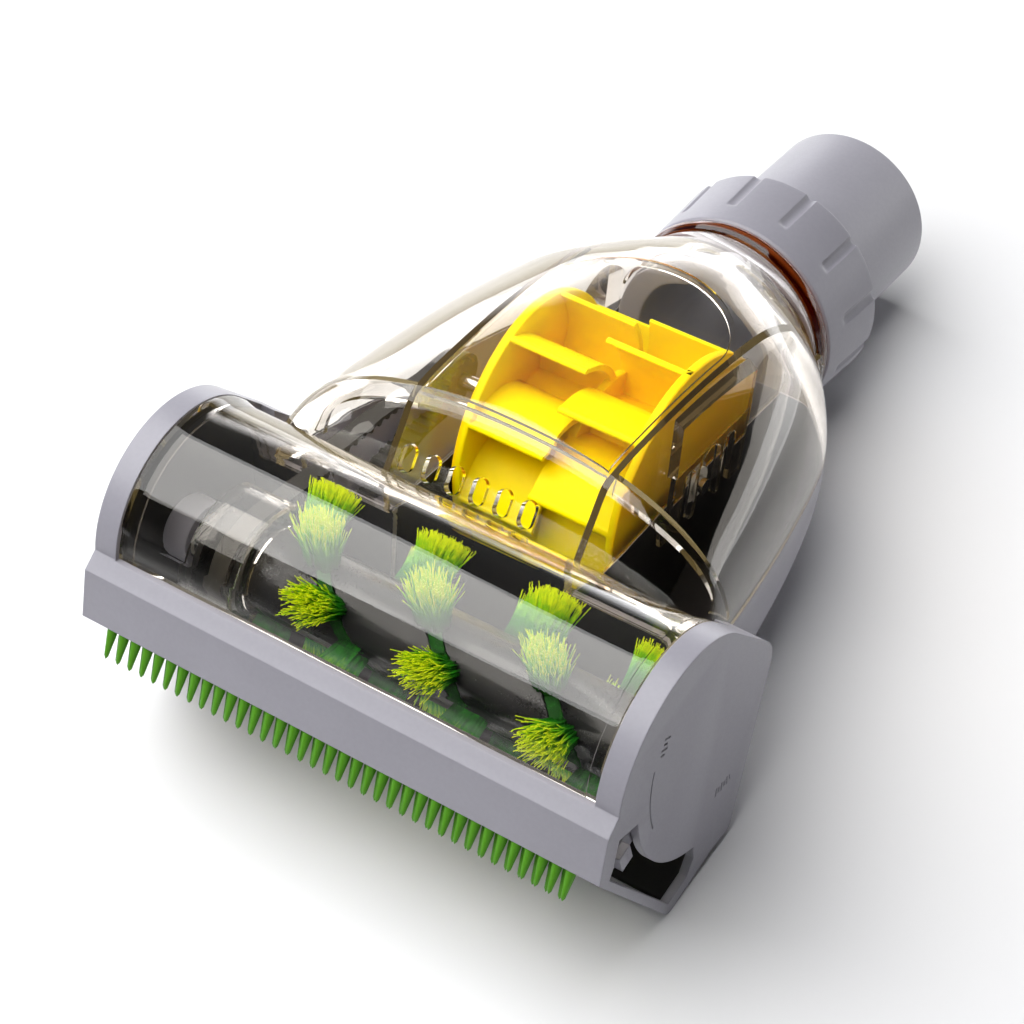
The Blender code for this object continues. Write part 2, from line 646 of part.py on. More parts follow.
def build_comb():
    """Rubber strip with two rows of conical teeth that stand out of the mouth."""
    y0 = (BAR_FOOT_LENGTH - COMB_BASE_WIDTH) / 2
    end = HALF - COMB_END
    outline = [sole_point(y0, 0.0), sole_point(y0 + COMB_BASE_WIDTH, 0.0),
               sole_point(y0 + COMB_BASE_WIDTH, COMB_BASE_DEPTH), sole_point(y0, COMB_BASE_DEPTH)]
    comb = prism("comb_strip", outline, -end, end, "green_rubber")
    verts, faces, sides = [], [], 4
    step = 2 * (end - COMB_FIRST) / (COMB_TEETH - 1)
    middle = BAR_FOOT_LENGTH / 2
    for row in range(COMB_ROWS):
        along = middle + (row - (COMB_ROWS - 1) / 2) * COMB_ROW_STEP
        for i in range(COMB_TEETH - row):
            x = -end + COMB_FIRST + step * (i + row / 2)
            rings = ((BITE, COMB_TOOTH_RADIUS), (-COMB_TOOTH_LENGTH, COMB_TIP_RADIUS))
            start = len(verts)
            for inwards, radius in rings:
                for k in range(sides):
                    t = 2 * math.pi * (k + 0.5) / sides
                    y, z = sole_point(along + radius * math.sin(t), inwards)
                    verts.append((x + radius * math.cos(t), y, z))
            faces.append(tuple(range(start, start + sides)))
            faces.append(tuple(range(start + sides, start + 2 * sides)))
            for k in range(sides):
                n = (k + 1) % sides
                faces.append((start + k, start + n, start + sides + n, start + sides + k))
    join(comb, add_solid("comb_teeth", verts, faces, None))
    return comb


def cover_rooms():
    """The hollows of the clear cover: dome, air duct and the chamber on either side of it."""
    inner = DOME_RADIUS - COVER
    dome = prism("room_of_dome", half_disc(inner), -DOME_HALF + DOME_LIP, DOME_HALF - DOME_LIP)
    join(dome, prism("room_of_dome_lip", half_disc(DOME_RADIUS - DOME_LIP_WALL),
                     -DOME_HALF - PAST, DOME_HALF + PAST))
    duct = bell("room_of_duct", True, wall=COVER, base=-PAST, front=PARTITION_Y - PAST,
                rear=NECK_END + PAST)
    keep(duct, box("duct_width", (-DUCT_HALF, DUCT_HALF), (0.0, FAR), DEEP))
    rooms = [dome, duct]
    first, last = DUCT_HALF + DUCT_WALL, HALF
    for side, low, high in (("right", first, last), ("left", -last, -first)):
        chamber = bell("room_" + side, True, wall=COVER, base=-PAST, front=PARTITION_Y - PAST,
                       rear=CHAMBER_END)
        keep(chamber, box("chamber_width_" + side, (low, high), (0.0, FAR), DEEP))
        disc = arc((ARCH_Y, ARCH_Z), DOME_RADIUS - GAP, 0, 360, 60)[:-1]
        cut(chamber, prism("dome_wall_" + side, disc, -HALF - PAST, HALF + PAST))
        rooms.append(chamber)
    return rooms


def half_disc(radius):
    """The dome's circle down to just below the parting plane."""
    return arc((ARCH_Y, ARCH_Z), radius, -DOME_DIP, 180 + DOME_DIP, 28)


def build_cover():
    start = math.degrees(math.asin((PART_GAP - ARCH_Z) / DOME_RADIUS))
    outline = arc((ARCH_Y, ARCH_Z), DOME_RADIUS, start, 180 - start, 28)
    cover = prism("upper_cover", outline, -DOME_HALF, DOME_HALF, "clear_smoke")
    join(cover, bell("bell", True))
    cut(cover, *cover_rooms())
    join(cover, half_neck("neck_upper", (-OVER, PART_GAP)))
    cut(cover, rod("neck_bore", [(BORE_FRONT, SPIGOT_RADIUS + GAP),
                                 (NECK_END + PAST, SPIGOT_RADIUS + GAP)],
                   (0, 0), "Y", steps=48))
    join(cover, cover_rib())
    join(cover, bearing_bracket())
    join(cover, *neck_clips())
    cut(cover, shaft_saddle("cover_saddle", 1))
    cut(cover, box("belt_slot_above", (BELT_X - BELT_SLOT_HALF, BELT_X + BELT_SLOT_HALF),
                   BELT_SLOT_Y, (-PAST, BELT_SLOT_HIGH)))
    cut(cover, *vents())
    return cover


def cover_rib():
    """Cross rib under the skin of the bell, left out where the air duct passes."""
    rings = []
    for y in (ARCH_RIB_Y, ARCH_RIB_Y + ARCH_RIB_THICK):
        outer = half_ring(y, eroded(y, COVER / 2), True, ARCH_RIB_BASE, 17)
        inner = half_ring(y, eroded(y, COVER + ARCH_RIB_DEPTH), True, ARCH_RIB_BASE, 17)
        rings.append(outer + inner[::-1])
    rib = loft("cross_rib", rings, None)
    half = DUCT_HALF + BITE
    cut(rib, box("rib_duct", (-half, half), (0.0, FAR), DEEP))
    return rib


def bearing_bracket():
    """Slotted plate beside the right duct wall; its fingers straddle the turbine's shaft."""
    low, high = BRACKET_Y
    plate = box("bracket", (DUCT_HALF + DUCT_WALL - BITE, BRACKET_X + BRACKET_THICK),
                (low, high), (BRACKET_FOOT[0], OVER))
    fingers = box("bracket_fingers", (BRACKET_X, BRACKET_X + BRACKET_THICK), (low, high),
                  (-BRACKET_DROP, BRACKET_FOOT[1]))
    join(plate, fingers)
    for i in range(3):
        y = TURBINE_Y + (i - 1) * BRACKET_SLOT_PITCH
        wide = BEARING_RADIUS + RUN if i == 1 else BRACKET_SLOT / 2
        top = BEARING_RADIUS + NUDGE if i == 1 else BRACKET_SLOT_TOP
        slot = [(y - wide, -OVER), (y + wide, -OVER)] + arc((y, top), wide, 0, 180, 8)
        cut(plate, prism(f"bracket_slot_{i}", slot, DUCT_HALF + DUCT_WALL, OVER))
    keep(plate, bell("bracket_skin", True, wall=COVER / 2, base=BRACKET_SKIN_BASE))
    return plate


def neck_clips():
    """Small tongues of the cover that grip the lower half of the neck."""
    clips = []
    radius = NECK_MOUTH + GAP
    top = radius - CLIP_LEAN
    for name, side in (("right", 1), ("left", -1)):
        outline = [(-CLIP_DROP, radius), (PART_GAP, radius), (CLIP_RISE, top),
                   (CLIP_RISE, top + CLIP_TIP), (CLIP_KNEE, radius + CLIP_THICK),
                   (-CLIP_DROP, radius + CLIP_THICK)]
        y = NECK_END - CLIP_WIDTH - SLIVER
        rings = [[(side * x, at, z) for z, x in outline] for at in (y, y + CLIP_WIDTH)]
        clips.append(loft("neck_clip_" + name, rings, None))
    return clips


def ramp_point(height):
    """Distance along the neck at which the ramp's crown reaches a height, and its slope."""
    ys = np.linspace(STATIONS[0][0], STATIONS[3][0], 200)
    tops = [station(y)[1] for y in ys]
    y = float(np.interp(height, tops, ys))
    rise = station(y + NUDGE / 2)[1] - station(y - NUDGE / 2)[1]
    return y, math.atan2(rise, NUDGE)


def vents():
    """Oval holes in a row along the ramp, cut square to its face."""
    y, slope = ramp_point(VENT_Z)
    along = np.array((math.cos(slope), math.sin(slope)))
    square = np.array((-math.sin(slope), math.cos(slope)))
    holes = []
    for i in range(VENT_COUNT):
        x0 = VENT_FIRST_X + i * VENT_PITCH
        half, reach = VENT_WIDTH / 2, (VENT_LENGTH - VENT_WIDTH) / 2
        oval = [(half * math.cos(t), reach + half * math.sin(t))
                for t in np.linspace(0, math.pi, 7)]
        oval += [(-a, -b) for a, b in oval]
        rings = []
        for depth in (-VENT_DEPTH, VENT_DEPTH):
            ring = []
            for a, b in oval:
                point = np.array((y, VENT_Z)) + along * b + square * depth
                ring.append((x0 + a, point[0], point[1]))
            rings.append(ring)
        holes.append(loft(f"vent_{i}", rings, None))
    return holes


def build_roller():
    """Black core with its flange and journals, grooved for the bristle strips."""
    collar = FLANGE_X - FLANGE_THICK
    left_end = -INSIDE + BOSS_LENGTH - BUSH_LENGTH + GAP
    pulley_room = JOURNAL_RADIUS + JOURNAL_SLEEVE
    profile = [(left_end, JOURNAL_RADIUS), (-INSIDE + BOSS_LENGTH + GAP, JOURNAL_RADIUS),
               (-INSIDE + BOSS_LENGTH + GAP, pulley_room), (collar, pulley_room),
               (collar, FLANGE_RADIUS), (FLANGE_X, FLANGE_RADIUS), (FLANGE_X, pulley_room),
               (BELT_X + PULLEY_WIDTH / 2 + GAP, pulley_room),
               (BELT_X + PULLEY_WIDTH / 2 + GAP, CORE_RADIUS), (CORE_HALF, CORE_RADIUS),
               (CORE_HALF, JOURNAL_RADIUS), (INSIDE - LOCK_THICK - 3 * GAP, JOURNAL_RADIUS)]
    core = rod("brush_core", profile, ROLLER_AXIS, "X", "black_plastic", steps=28)
    for row in range(2):
        cut(core, spiral(f"strip_groove_{row}", row, STRIP_WIDTH + 2 * GAP,
                         CORE_RADIUS - STRIP_DEPTH - GAP, CORE_RADIUS + 2 * NUDGE, None, GAP))
    return core


def spiral_angle(x, row):
    return 2 * math.pi * x / SPIRAL_PITCH + math.pi * row + SPIRAL_START


def spiral(name, row, width, low, high, material, longer=0.0, steps=24):
    """A strip of rectangular section wound along the roller between two radii.

    Its twisted faces are split along their shorter diagonal, so that strip and groove match.
    """
    verts = []
    places = np.linspace(TUFT_FIRST_X - STRIP_END, TUFT_LAST_X + STRIP_END, steps)
    places[0] -= longer
    places[-1] += longer
    for x in places:
        t = spiral_angle(x, row)
        swing = width / 2 / CORE_RADIUS
        for radius, turn_by in ((low, -swing), (low, swing), (high, swing), (high, -swing)):
            verts.append((x, ROLLER_AXIS[0] + radius * math.cos(t + turn_by),
                          ROLLER_AXIS[1] + radius * math.sin(t + turn_by)))
    faces = [(0, 1, 2, 3), tuple(range(len(verts) - 4, len(verts)))]
    for start in range(0, len(verts) - 4, 4):
        for i in range(4):
            j = (i + 1) % 4
            a, b, c, d = start + i, start + j, start + 4 + j, start + 4 + i
            faces += [(b, c, d), (b, d, a)] if i == 0 else [(a, b, c), (a, c, d)]
    return add_solid(name, verts, faces, material)


def build_bristles(row):
    """A backing strip in its groove with fanned tufts standing out of it."""
    name = "bristle_row_" + "ab"[row]
    strip = spiral(name, row, STRIP_WIDTH, CORE_RADIUS - STRIP_DEPTH, CORE_RADIUS,
                   "green_bristle")
    verts, faces = [], []
    for x in np.linspace(TUFT_FIRST_X, TUFT_LAST_X, TUFTS_IN_ROW):
        t = spiral_angle(x, row)
        out = np.array((0.0, math.cos(t), math.sin(t)))
        side = np.array((0.0, -math.sin(t), math.cos(t)))
        along = np.array((1.0, 0.0, 0.0))
        start = len(verts)
        rings = ((CORE_RADIUS - BITE, TUFT_ROOT), (BRISTLE_RADIUS, TUFT_TIP))
        for radius, spread in rings:
            for k in range(TUFT_SIDES):
                a = 2 * math.pi * (k + 0.5) / TUFT_SIDES
                reach = math.sqrt(radius ** 2 - (spread * math.sin(a)) ** 2)
                verts.append(np.array((x, *ROLLER_AXIS)) + out * reach
                             + side * spread * math.sin(a) + along * spread * math.cos(a))
        n = TUFT_SIDES
        faces.append(tuple(range(start, start + n)))
        faces.append(tuple(range(start + n, start + 2 * n)))
        for k in range(n):
            j = (k + 1) % n
            faces.append((start + k, start + j, start + n + j, start + n + k))
    join(strip, add_solid(name + "_tufts", verts, faces, None))
    return strip


def build_bushes():
    """The two plain bushes that the roller's journals run in."""
    inner, outer = JOURNAL_RADIUS + RUN, JOURNAL_RADIUS + RUN + BUSH_WALL
    left = -INSIDE + BOSS_LENGTH
    right = INSIDE - LOCK_THICK - GAP
    spans = {"roller_bearing_left": (left - BUSH_LENGTH, left),
             "roller_bearing_right": (right - BUSH_LENGTH, right - GAP)}
    for name, (low, high) in spans.items():
        turn(name, [(low, inner), (low, outer), (high, outer), (high, inner)], ROLLER_AXIS,
             "X", "white_bush", steps=32)


def lock_arm_outline(reach, width):
    """The arm of the roller lock, from the axis to its reach."""
    t = math.radians(LOCK_ANGLE)
    along, side = np.array((math.cos(t), math.sin(t))), np.array((-math.sin(t), math.cos(t)))
    centre = np.array(ROLLER_AXIS)
    return [tuple(centre + side * width / 2), tuple(centre - side * width / 2),
            tuple(centre + along * reach - side * width / 2),
            tuple(centre + along * reach + side * width / 2)]


def build_lock():
    """Lever that holds the right bush; its tab stands in the finger window."""
    bush = JOURNAL_RADIUS + RUN + BUSH_WALL + GAP
    disc = rod("roller_lock", [(INSIDE - LOCK_THICK - GAP, LOCK_DISC), (INSIDE - GAP, LOCK_DISC)],
               ROLLER_AXIS, "X", "grey_plastic", steps=32)
    arm = prism("lock_arm", lock_arm_outline(LOCK_REACH, LOCK_ARM_WIDTH),
                INSIDE - LOCK_THICK - GAP + SLIVER, INSIDE - GAP - SLIVER)
    t = math.radians(LOCK_ANGLE)
    along, side = np.array((math.cos(t), math.sin(t))), np.array((-math.sin(t), math.cos(t)))
    tip = np.array(ROLLER_AXIS) + along * (LOCK_REACH - 2 * SLIVER)
    half = LOCK_ARM_WIDTH / 2 - 2 * SLIVER
    tab = [tuple(tip + side * half), tuple(tip - side * half),
           tuple(tip - along * LOCK_TAB - side * half), tuple(tip - along * LOCK_TAB + side * half)]
    cup = turn("lock_cup", [(INSIDE - LOCK_THICK - BUSH_LENGTH, bush),
                            (INSIDE - LOCK_THICK - BUSH_LENGTH, bush + BOSS_WALL),
                            (INSIDE - LOCK_THICK, bush + BOSS_WALL),
                            (INSIDE - LOCK_THICK, bush)], ROLLER_AXIS, "X", steps=32)
    join(disc, arm, prism("lock_tab", tab, INSIDE - LOCK_THICK, HALF - RUN), cup)
    return disc


def toothed(centre, radius, teeth, depth):
    """Outline of a toothed pulley: a square-topped tooth and a gap of the same width."""
    outline = []
    for i in range(teeth):
        for part, height in PULLEY_TOOTH_SHAPE:
            t = 2 * math.pi * (i + part) / teeth
            r = radius - depth * (1 - height)
            outline.append((centre[0] + r * math.cos(t), centre[1] + r * math.sin(t)))
    return outline


def pulley_radius(teeth):
    return teeth * BELT_PITCH / (2 * math.pi)


def build_pulleys():
    """Toothed pulleys on the turbine's shaft and on the roller, pressed on their shafts."""
    low, high = BELT_X - PULLEY_WIDTH / 2, BELT_X + PULLEY_WIDTH / 2
    for name, centre, teeth, hole in (
            ("drive_pulley", (TURBINE_Y, TURBINE_Z), DRIVE_TEETH, SHAFT_RADIUS),
            ("roller_pulley", ROLLER_AXIS, ROLLER_TEETH, JOURNAL_RADIUS + JOURNAL_SLEEVE)):
        pulley = prism(name, toothed(centre, pulley_radius(teeth), teeth, PULLEY_FLANK),
                       low, high, "black_plastic")
        cut(pulley, rod(name + "_bore", [(low - PAST, hole + GAP), (high + PAST, hole + GAP)],
                        centre, "X", steps=24))


def belt_path(offset):
    """Closed path round both pulleys at an offset, as points, and a flag on straight runs."""
    a, b = np.array(ROLLER_AXIS), np.array((TURBINE_Y, TURBINE_Z))
    ra, rb = pulley_radius(ROLLER_TEETH) + offset, pulley_radius(DRIVE_TEETH) + offset
    span = float(np.linalg.norm(b - a))
    along = (b - a) / span
    tilt = math.degrees(math.asin((ra - rb) / span))
    base = math.degrees(math.atan2(along[1], along[0]))
    round_a = arc(a, ra, base + 90 - tilt, base + 270 + tilt, 20)
    round_b = arc(b, rb, base - 90 + tilt, base + 90 - tilt, 14)
    run = math.sqrt(span ** 2 - (ra - rb) ** 2)
    return round_a, round_b, run


def build_belt():
    """Rubber timing belt: smooth outside, toothed inside along its two straight runs."""
    outer_a, outer_b, run = belt_path(GAP + BELT_THICK)
    inner_a, inner_b, _ = belt_path(GAP)
    count = int((run - BELT_PLAIN) / BELT_PITCH)
    inner = []
    margin = (run - count * BELT_PITCH) / 2
    for curve, start, end, back in ((inner_a, inner_a[-1], inner_b[0], outer_a[-1]),
                                    (inner_b, inner_b[-1], inner_a[0], outer_b[-1])):
        inner += curve
        start, end = np.array(start), np.array(end)
        inward = (start - np.array(back)) / np.linalg.norm(start - np.array(back))
        for k in range(count):
            for part, tooth in BELT_TOOTH_SHAPE:
                t = (margin + (k + part) * BELT_PITCH) / run
                inner.append(tuple(start + (end - start) * t + inward * tooth * BELT_TOOTH))
    low, high = BELT_X - BELT_WIDTH / 2, BELT_X + BELT_WIDTH / 2
    belt = prism("timing_belt", outer_a + outer_b, low, high, "black_rubber")
    cut(belt, prism("belt_inside", inner, low - NUDGE, high + NUDGE))
    return belt


def build_guard():
    """Clear shield over the belt end of the roller, with a cheek that stands on the partition."""
    low, high = GUARD_X
    inner = pulley_radius(ROLLER_TEETH) + GAP + BELT_THICK + GUARD_CLEAR
    outer = inner + GUARD_WALL
    rear = PARTITION_Y - GAP
    first, last = GUARD_SPAN
    section = arc(ROLLER_AXIS, outer, first, last, 26) + arc(ROLLER_AXIS, inner, last, first, 26)
    shield = prism("belt_guard", section, low, high, "clear_smoke")
    foot_high, foot_low = GUARD_FOOT
    cheek_high, cheek_low = GUARD_CHEEK_SPAN
    cheek = arc(ROLLER_AXIS, outer - SLIVER, first, cheek_high, 26)
    cheek += [(rear, foot_high), (rear, foot_low)]
    cheek += arc(ROLLER_AXIS, CORE_RADIUS + GUARD_RUN, cheek_low, first, 26)
    join(shield, prism("guard_cheek", cheek, high - GUARD_WALL, high + SLIVER))
    return shield


def blade_outline(turned):
    """A curved blade from the hub to the rim, bowed so that it scoops the air."""
    centre = np.array((TURBINE_Y, TURBINE_Z))
    faces = []
    for offset in (BLADE_THICK / 2, -BLADE_THICK / 2):
        edge = []
        for s in np.linspace(0, 1, 5):
            root, tip = HUB_RADIUS - BITE, TURBINE_RADIUS - BLADE_SHORT
            radius = root + (tip - root) * s
            t = turned + math.radians(BLADE_LEAN) * s ** BLADE_BOW + offset / radius
            edge.append(tuple(centre + radius * np.array((math.cos(t), math.sin(t)))))
        faces.append(edge)
    return faces[0] + faces[1][::-1]


def build_turbine():
    """Two rows of blades on one hub between end discs, the rows half a pitch apart."""
    t, h = DISC_THICK, TURBINE_HALF
    web = HUB_RADIUS + HUB_WEB
    profile = [(-h, SHAFT_RADIUS + GAP), (-h, TURBINE_RADIUS), (-h + t, TURBINE_RADIUS),
               (-h + t, HUB_RADIUS), (-t / 2, HUB_RADIUS), (-t / 2, web), (t / 2, web),
               (t / 2, HUB_RADIUS), (h - t, HUB_RADIUS), (h - t, TURBINE_RADIUS),
               (h, TURBINE_RADIUS), (h, SHAFT_RADIUS + GAP)]
    wheel = turn("turbine_wheel", profile, (TURBINE_Y, TURBINE_Z), "X", "yellow_plastic",
                 steps=40)
    rows = ((-h + t - BLADE_INTO, BLADE_PAST, 0.0), (-BLADE_PAST, h - t + BLADE_INTO, 0.5))
    for name, (low, high, phase) in zip(("left", "right"), rows):
        for i in range(BLADES):
            turned = 2 * math.pi * (i + phase) / BLADES
            join(wheel, prism(f"blade_{name}_{i}", blade_outline(turned), low, high))
    return wheel


def build_shaft():
    """Steel shaft through the wheel, its two bearings and the drive pulley."""
    centre = (TURBINE_Y, TURBINE_Z)
    left = BELT_X - PULLEY_WIDTH / 2 - GAP
    right = DUCT_HALF + DUCT_WALL / 2 + BEARING_LENGTH / 2 + SHAFT_STUB
    rod("turbine_shaft", [(left, SHAFT_RADIUS), (right, SHAFT_RADIUS)], centre, "X", "steel",
        steps=20)
    middle = DUCT_HALF + DUCT_WALL / 2
    inner = SHAFT_RADIUS + GAP
    flange = BEARING_RADIUS + BEARING_FLANGE
    lip = DUCT_HALF - GAP - BEARING_FLANGE_THICK
    back = lip + BEARING_FLANGE_THICK
    for name, side, short in (("turbine_bearing_left", -1, 0.0),
                              ("turbine_bearing_right", 1, BEARING_SHORT)):
        high = middle + BEARING_LENGTH / 2 - short
        profile = [(lip, inner), (lip, flange), (back, flange), (back, BEARING_RADIUS),
                   (high, BEARING_RADIUS), (high, inner)]
        profile = [(side * a, r) for a, r in profile]
        turn(name, profile, centre, "X", "white_bush", steps=28)


def build_neck():
    """Amber ring, fluted collar and hose tube, all turned about the neck's axis."""
    ring_front = NECK_END + GAP
    ring_rear = ring_front + RING_LENGTH
    inner = SPIGOT_RADIUS + GAP
    (front_along, front_down), (rear_along, rear_down) = RING_CHAMFERS
    turn("neck_ring", [(ring_front, inner), (ring_front, RING_RADIUS - front_down),
                       (ring_front + front_along, RING_RADIUS),
                       (ring_rear - rear_along, RING_RADIUS),
                       (ring_rear, RING_RADIUS - rear_down), (ring_rear, inner)],
         (0, 0), "Y", "clear_amber", steps=48)
    build_collar(ring_rear + GAP, inner)
    build_tube()


def build_collar(front, inner):
    rear = front + COLLAR_LENGTH
    lip = rear - COLLAR_LIP
    hole = TUBE_RADIUS + RUN
    profile = [(front, inner + RUN - GAP), (front, COLLAR_FRONT_RADIUS),
               (rear - COLLAR_CHAMFER, COLLAR_REAR_RADIUS),
               (rear, COLLAR_REAR_RADIUS - COLLAR_CHAMFER),
               (rear, hole), (lip, hole), (lip, inner + RUN - GAP)]
    collar = turn("lock_collar", profile, (0, 0), "Y", "grey_plastic", steps=48)
    for i in range(FLUTES):
        t = 2 * math.pi * (i + 0.5) / FLUTES
        radius = COLLAR_REAR_RADIUS + FLUTE_RADIUS - FLUTE_SINK
        centre = (radius * math.cos(t), radius * math.sin(t))
        start = rear - FLUTE_LENGTH
        cut(collar, rod(f"flute_{i}", [(start, FLUTE_RADIUS * FLUTE_POINT),
                                       (start + FLUTE_RADIUS, FLUTE_RADIUS),
                                       (rear + PAST, FLUTE_RADIUS)], centre, "Y", steps=10))
    return collar


def build_tube():
    """Hose tube with the collar that traps it behind the spigot and a tapered socket."""
    front, flange_end = TUBE_FRONT, TUBE_FRONT + TUBE_FLANGE_LENGTH
    stop = TUBE_END - TUBE_SOCKET
    profile = [(front, TUBE_BORE_INNER), (front, TUBE_FLANGE), (flange_end, TUBE_FLANGE),
               (flange_end, TUBE_RADIUS), (TUBE_END - TUBE_CHAMFER, TUBE_RADIUS),
               (TUBE_END, TUBE_RADIUS - TUBE_CHAMFER), (TUBE_END, TUBE_BORE + TUBE_CHAMFER),
               (TUBE_END - TUBE_LEAD, TUBE_BORE), (stop, TUBE_STOP_RADIUS),
               (stop, TUBE_BORE_INNER)]
    return turn("hose_tube", profile, (0, 0), "Y", "grey_plastic", steps=48)


def rest_on_table(frame):
    """Tilt the brush until the mouth's corner and the neck touch, then set it on Z = 0."""
    radius = SOLE_CORNER[2]
    corner = np.array(rounded_corner_centre())
    ring_rear = NECK_END + 2 * GAP + RING_LENGTH
    touch = [(ring_rear + COLLAR_LENGTH - COLLAR_CHAMFER, -COLLAR_REAR_RADIUS), (TUBE_END, -TUBE_RADIUS)]
    tilts = []
    for point in touch:
        reach = np.array(point) - corner
        tilts.append(math.atan2(reach[1], reach[0]) + math.asin(radius / np.linalg.norm(reach)))
    frame.rotation_euler = (-min(tilts), 0.0, 0.0)
    bpy.context.view_layer.update()
    scene = bpy.context.evaluated_depsgraph_get()
    points = []
    for solid in bpy.data.objects:
        if solid.type == "MESH" and not solid.hide_render:
            shape = solid.evaluated_get(scene)
            points += [shape.matrix_world @ v.co for v in shape.data.vertices]
    points = np.array(points)
    low, high = points.min(axis=0), points.max(axis=0)
    frame.location = (0.0, -(low[1] + high[1]) / 2, -low[2])


def rounded_corner_centre():
    """Centre of the rounding at the mouth's lower corner."""
    here = np.array(SOLE_CORNER[:2])
    before = np.array(REAR_NOTCH[:2]) - here
    after = FRONT_FOOT - here
    before, after = before / np.linalg.norm(before), after / np.linalg.norm(after)
    half = math.acos(float(before @ after)) / 2
    bisector = (before + after) / np.linalg.norm(before + after)
    return here + bisector * SOLE_CORNER[2] / math.sin(half)


def set_origin(name, centre):
    """Move an object's origin onto its axis of turning, its shape stays where it is."""
    solid = bpy.data.objects[name]
    solid.data.transform(Matrix.Translation([-c for c in centre]))
    solid.location = centre


def main():
    clear_scene()
    frame = bpy.data.objects.new("resting_frame", None)
    bpy.context.collection.objects.link(frame)
    build_housing()
    build_comb()
    build_cover()
    build_roller()
    for row in range(2):
        build_bristles(row)
    build_bushes()
    build_lock()
    build_pulleys()
    build_belt()
    build_guard()
    build_turbine()
    build_shaft()
    build_neck()
    turbine_axis = (0.0, TURBINE_Y, TURBINE_Z)
    roller_axis = (0.0, *ROLLER_AXIS)
    for name in ("turbine_wheel", "turbine_shaft", "drive_pulley"):
        set_origin(name, turbine_axis)
    for name in ("brush_core", "bristle_row_a", "bristle_row_b", "roller_pulley", "roller_lock"):
        set_origin(name, roller_axis)
    rest_on_table(frame)


main()
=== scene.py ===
"""Looks of a hand-held turbo brush for a vacuum cleaner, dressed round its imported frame.

The sections follow the brush as it is put together: grey housing, roller, belt drive, turbine,
clear cover, neck, hose tube and comb, and last the table, the lamps and the camera.
"""
import json
import math

import bmesh
import bpy
import numpy as np
from mathutils import Matrix


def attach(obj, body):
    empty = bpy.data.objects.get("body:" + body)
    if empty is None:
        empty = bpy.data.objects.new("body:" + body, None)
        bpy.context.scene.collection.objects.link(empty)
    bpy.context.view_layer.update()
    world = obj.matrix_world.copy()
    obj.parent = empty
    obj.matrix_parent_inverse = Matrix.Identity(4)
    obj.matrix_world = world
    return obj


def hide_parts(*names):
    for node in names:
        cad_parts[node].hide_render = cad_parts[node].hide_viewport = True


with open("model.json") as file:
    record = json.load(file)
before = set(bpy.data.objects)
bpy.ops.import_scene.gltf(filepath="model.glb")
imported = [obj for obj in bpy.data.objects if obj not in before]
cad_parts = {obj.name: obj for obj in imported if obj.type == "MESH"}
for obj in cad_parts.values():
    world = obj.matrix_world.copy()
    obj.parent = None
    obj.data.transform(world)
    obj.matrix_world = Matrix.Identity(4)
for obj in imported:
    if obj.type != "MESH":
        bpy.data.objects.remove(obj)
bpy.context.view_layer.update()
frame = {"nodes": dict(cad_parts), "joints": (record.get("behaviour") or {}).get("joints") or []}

# How the brush lies. It is drawn in the frame of its neck, X along the roller, Y along the neck
# to the hose and Z up, and lies tilted on the table, on the corner of its mouth and the collar.
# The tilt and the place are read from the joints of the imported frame.
ROLLER_AXIS = np.array((0.0, 0.0315, -0.0090))
joints = {joint["name"]: joint for joint in frame["joints"]}
neck_way = np.array(joints["collar_turn"]["axis"])
neck_way /= np.linalg.norm(neck_way)
NECK_FRAME = np.array(((1.0, 0.0, 0.0), neck_way, np.cross((1.0, 0.0, 0.0), neck_way)))
NECK_ORIGIN = np.array(joints["roller_spin"]["pos_m"]) - ROLLER_AXIS @ NECK_FRAME


def laid(points):
    """Neck frame to table: x across + y along the neck + z up, from where the neck starts."""
    return np.asarray(points, float) @ NECK_FRAME + NECK_ORIGIN


# Grey housing. One moulding in a fine-grained grey plastic: front bar, two end arches with their
# side plates, the hull and the lower half of the neck. An arc and two rows of ticks are sunk in
# the right plate, where the roller lock turns.
GREY = (0.27, 0.263, 0.30, 1.0)
GREY_ROUGHNESS = 0.42
GREY_GRAIN = 2600.0      # bumps of the spark-eroded mould, per metre
GREY_DEPTH = 0.000012
EDGE_ROUNDING = 0.00045
HALF = 0.0675            # half the width over the end plates
SHELL = 0.0020           # wall of the moulding
INSIDE = HALF - SHELL
END_BAND = 0.0058        # width of an end arch
GAP = 0.0003             # between pieces that fit in each other
BITE = 0.0006            # how far a joined piece is sunk in its neighbour
PAST = 0.004             # reach of a cutter past the face it opens
OVER = 0.001             # the same, where there is little room
DEEP = (-0.1, 0.1)       # right through, in Z
FRONT, REAR, TOP = -0.06, 0.2, 0.06      # clear of the whole brush
SHARP = 32.0             # edges that turn by more degrees than this stay sharp
BAR_FOOT = np.array((0.0, -0.0154))
BAR_CHAMFER = (0.0017, -0.0032)
ARCH_CENTRE = (0.0313, -0.0012)
ARCH_RADIUS = 0.0260
DOME_RADIUS = 0.0252
REAR_CORNERS = ((0.0676, 0.0011, 0.0090), (0.0570, -0.0466, 0.0026),
                (0.0500, -0.0469, 0.0060), (0.0322, -0.0530, 0.0034))    # y, z, rounding
BAR_FOOT_LENGTH = 0.0062
BAR_FOOT_DEPTH = 0.0050
MOUTH_REAR_RIM = 0.0046
MOUTH_SIDE_RIM = 0.0008
CHANNEL = (0.0005, 0.0057)               # of the comb, along the sole
CHANNEL_DEPTH = 0.0025
CHANNEL_HALF = 0.0633
PARTITION_Y = 0.0566     # the wall behind the roller
DUCT_HALF = 0.0242
DUCT_WALL = 0.0016
WALL_SPARE = 0.0001      # either side, when faces of the wall are looked for
CHAMBER_END = 0.1440
BELT_SLOT = (-0.0487, -0.0403)
BELT_SLOT_FOOT = -0.0225
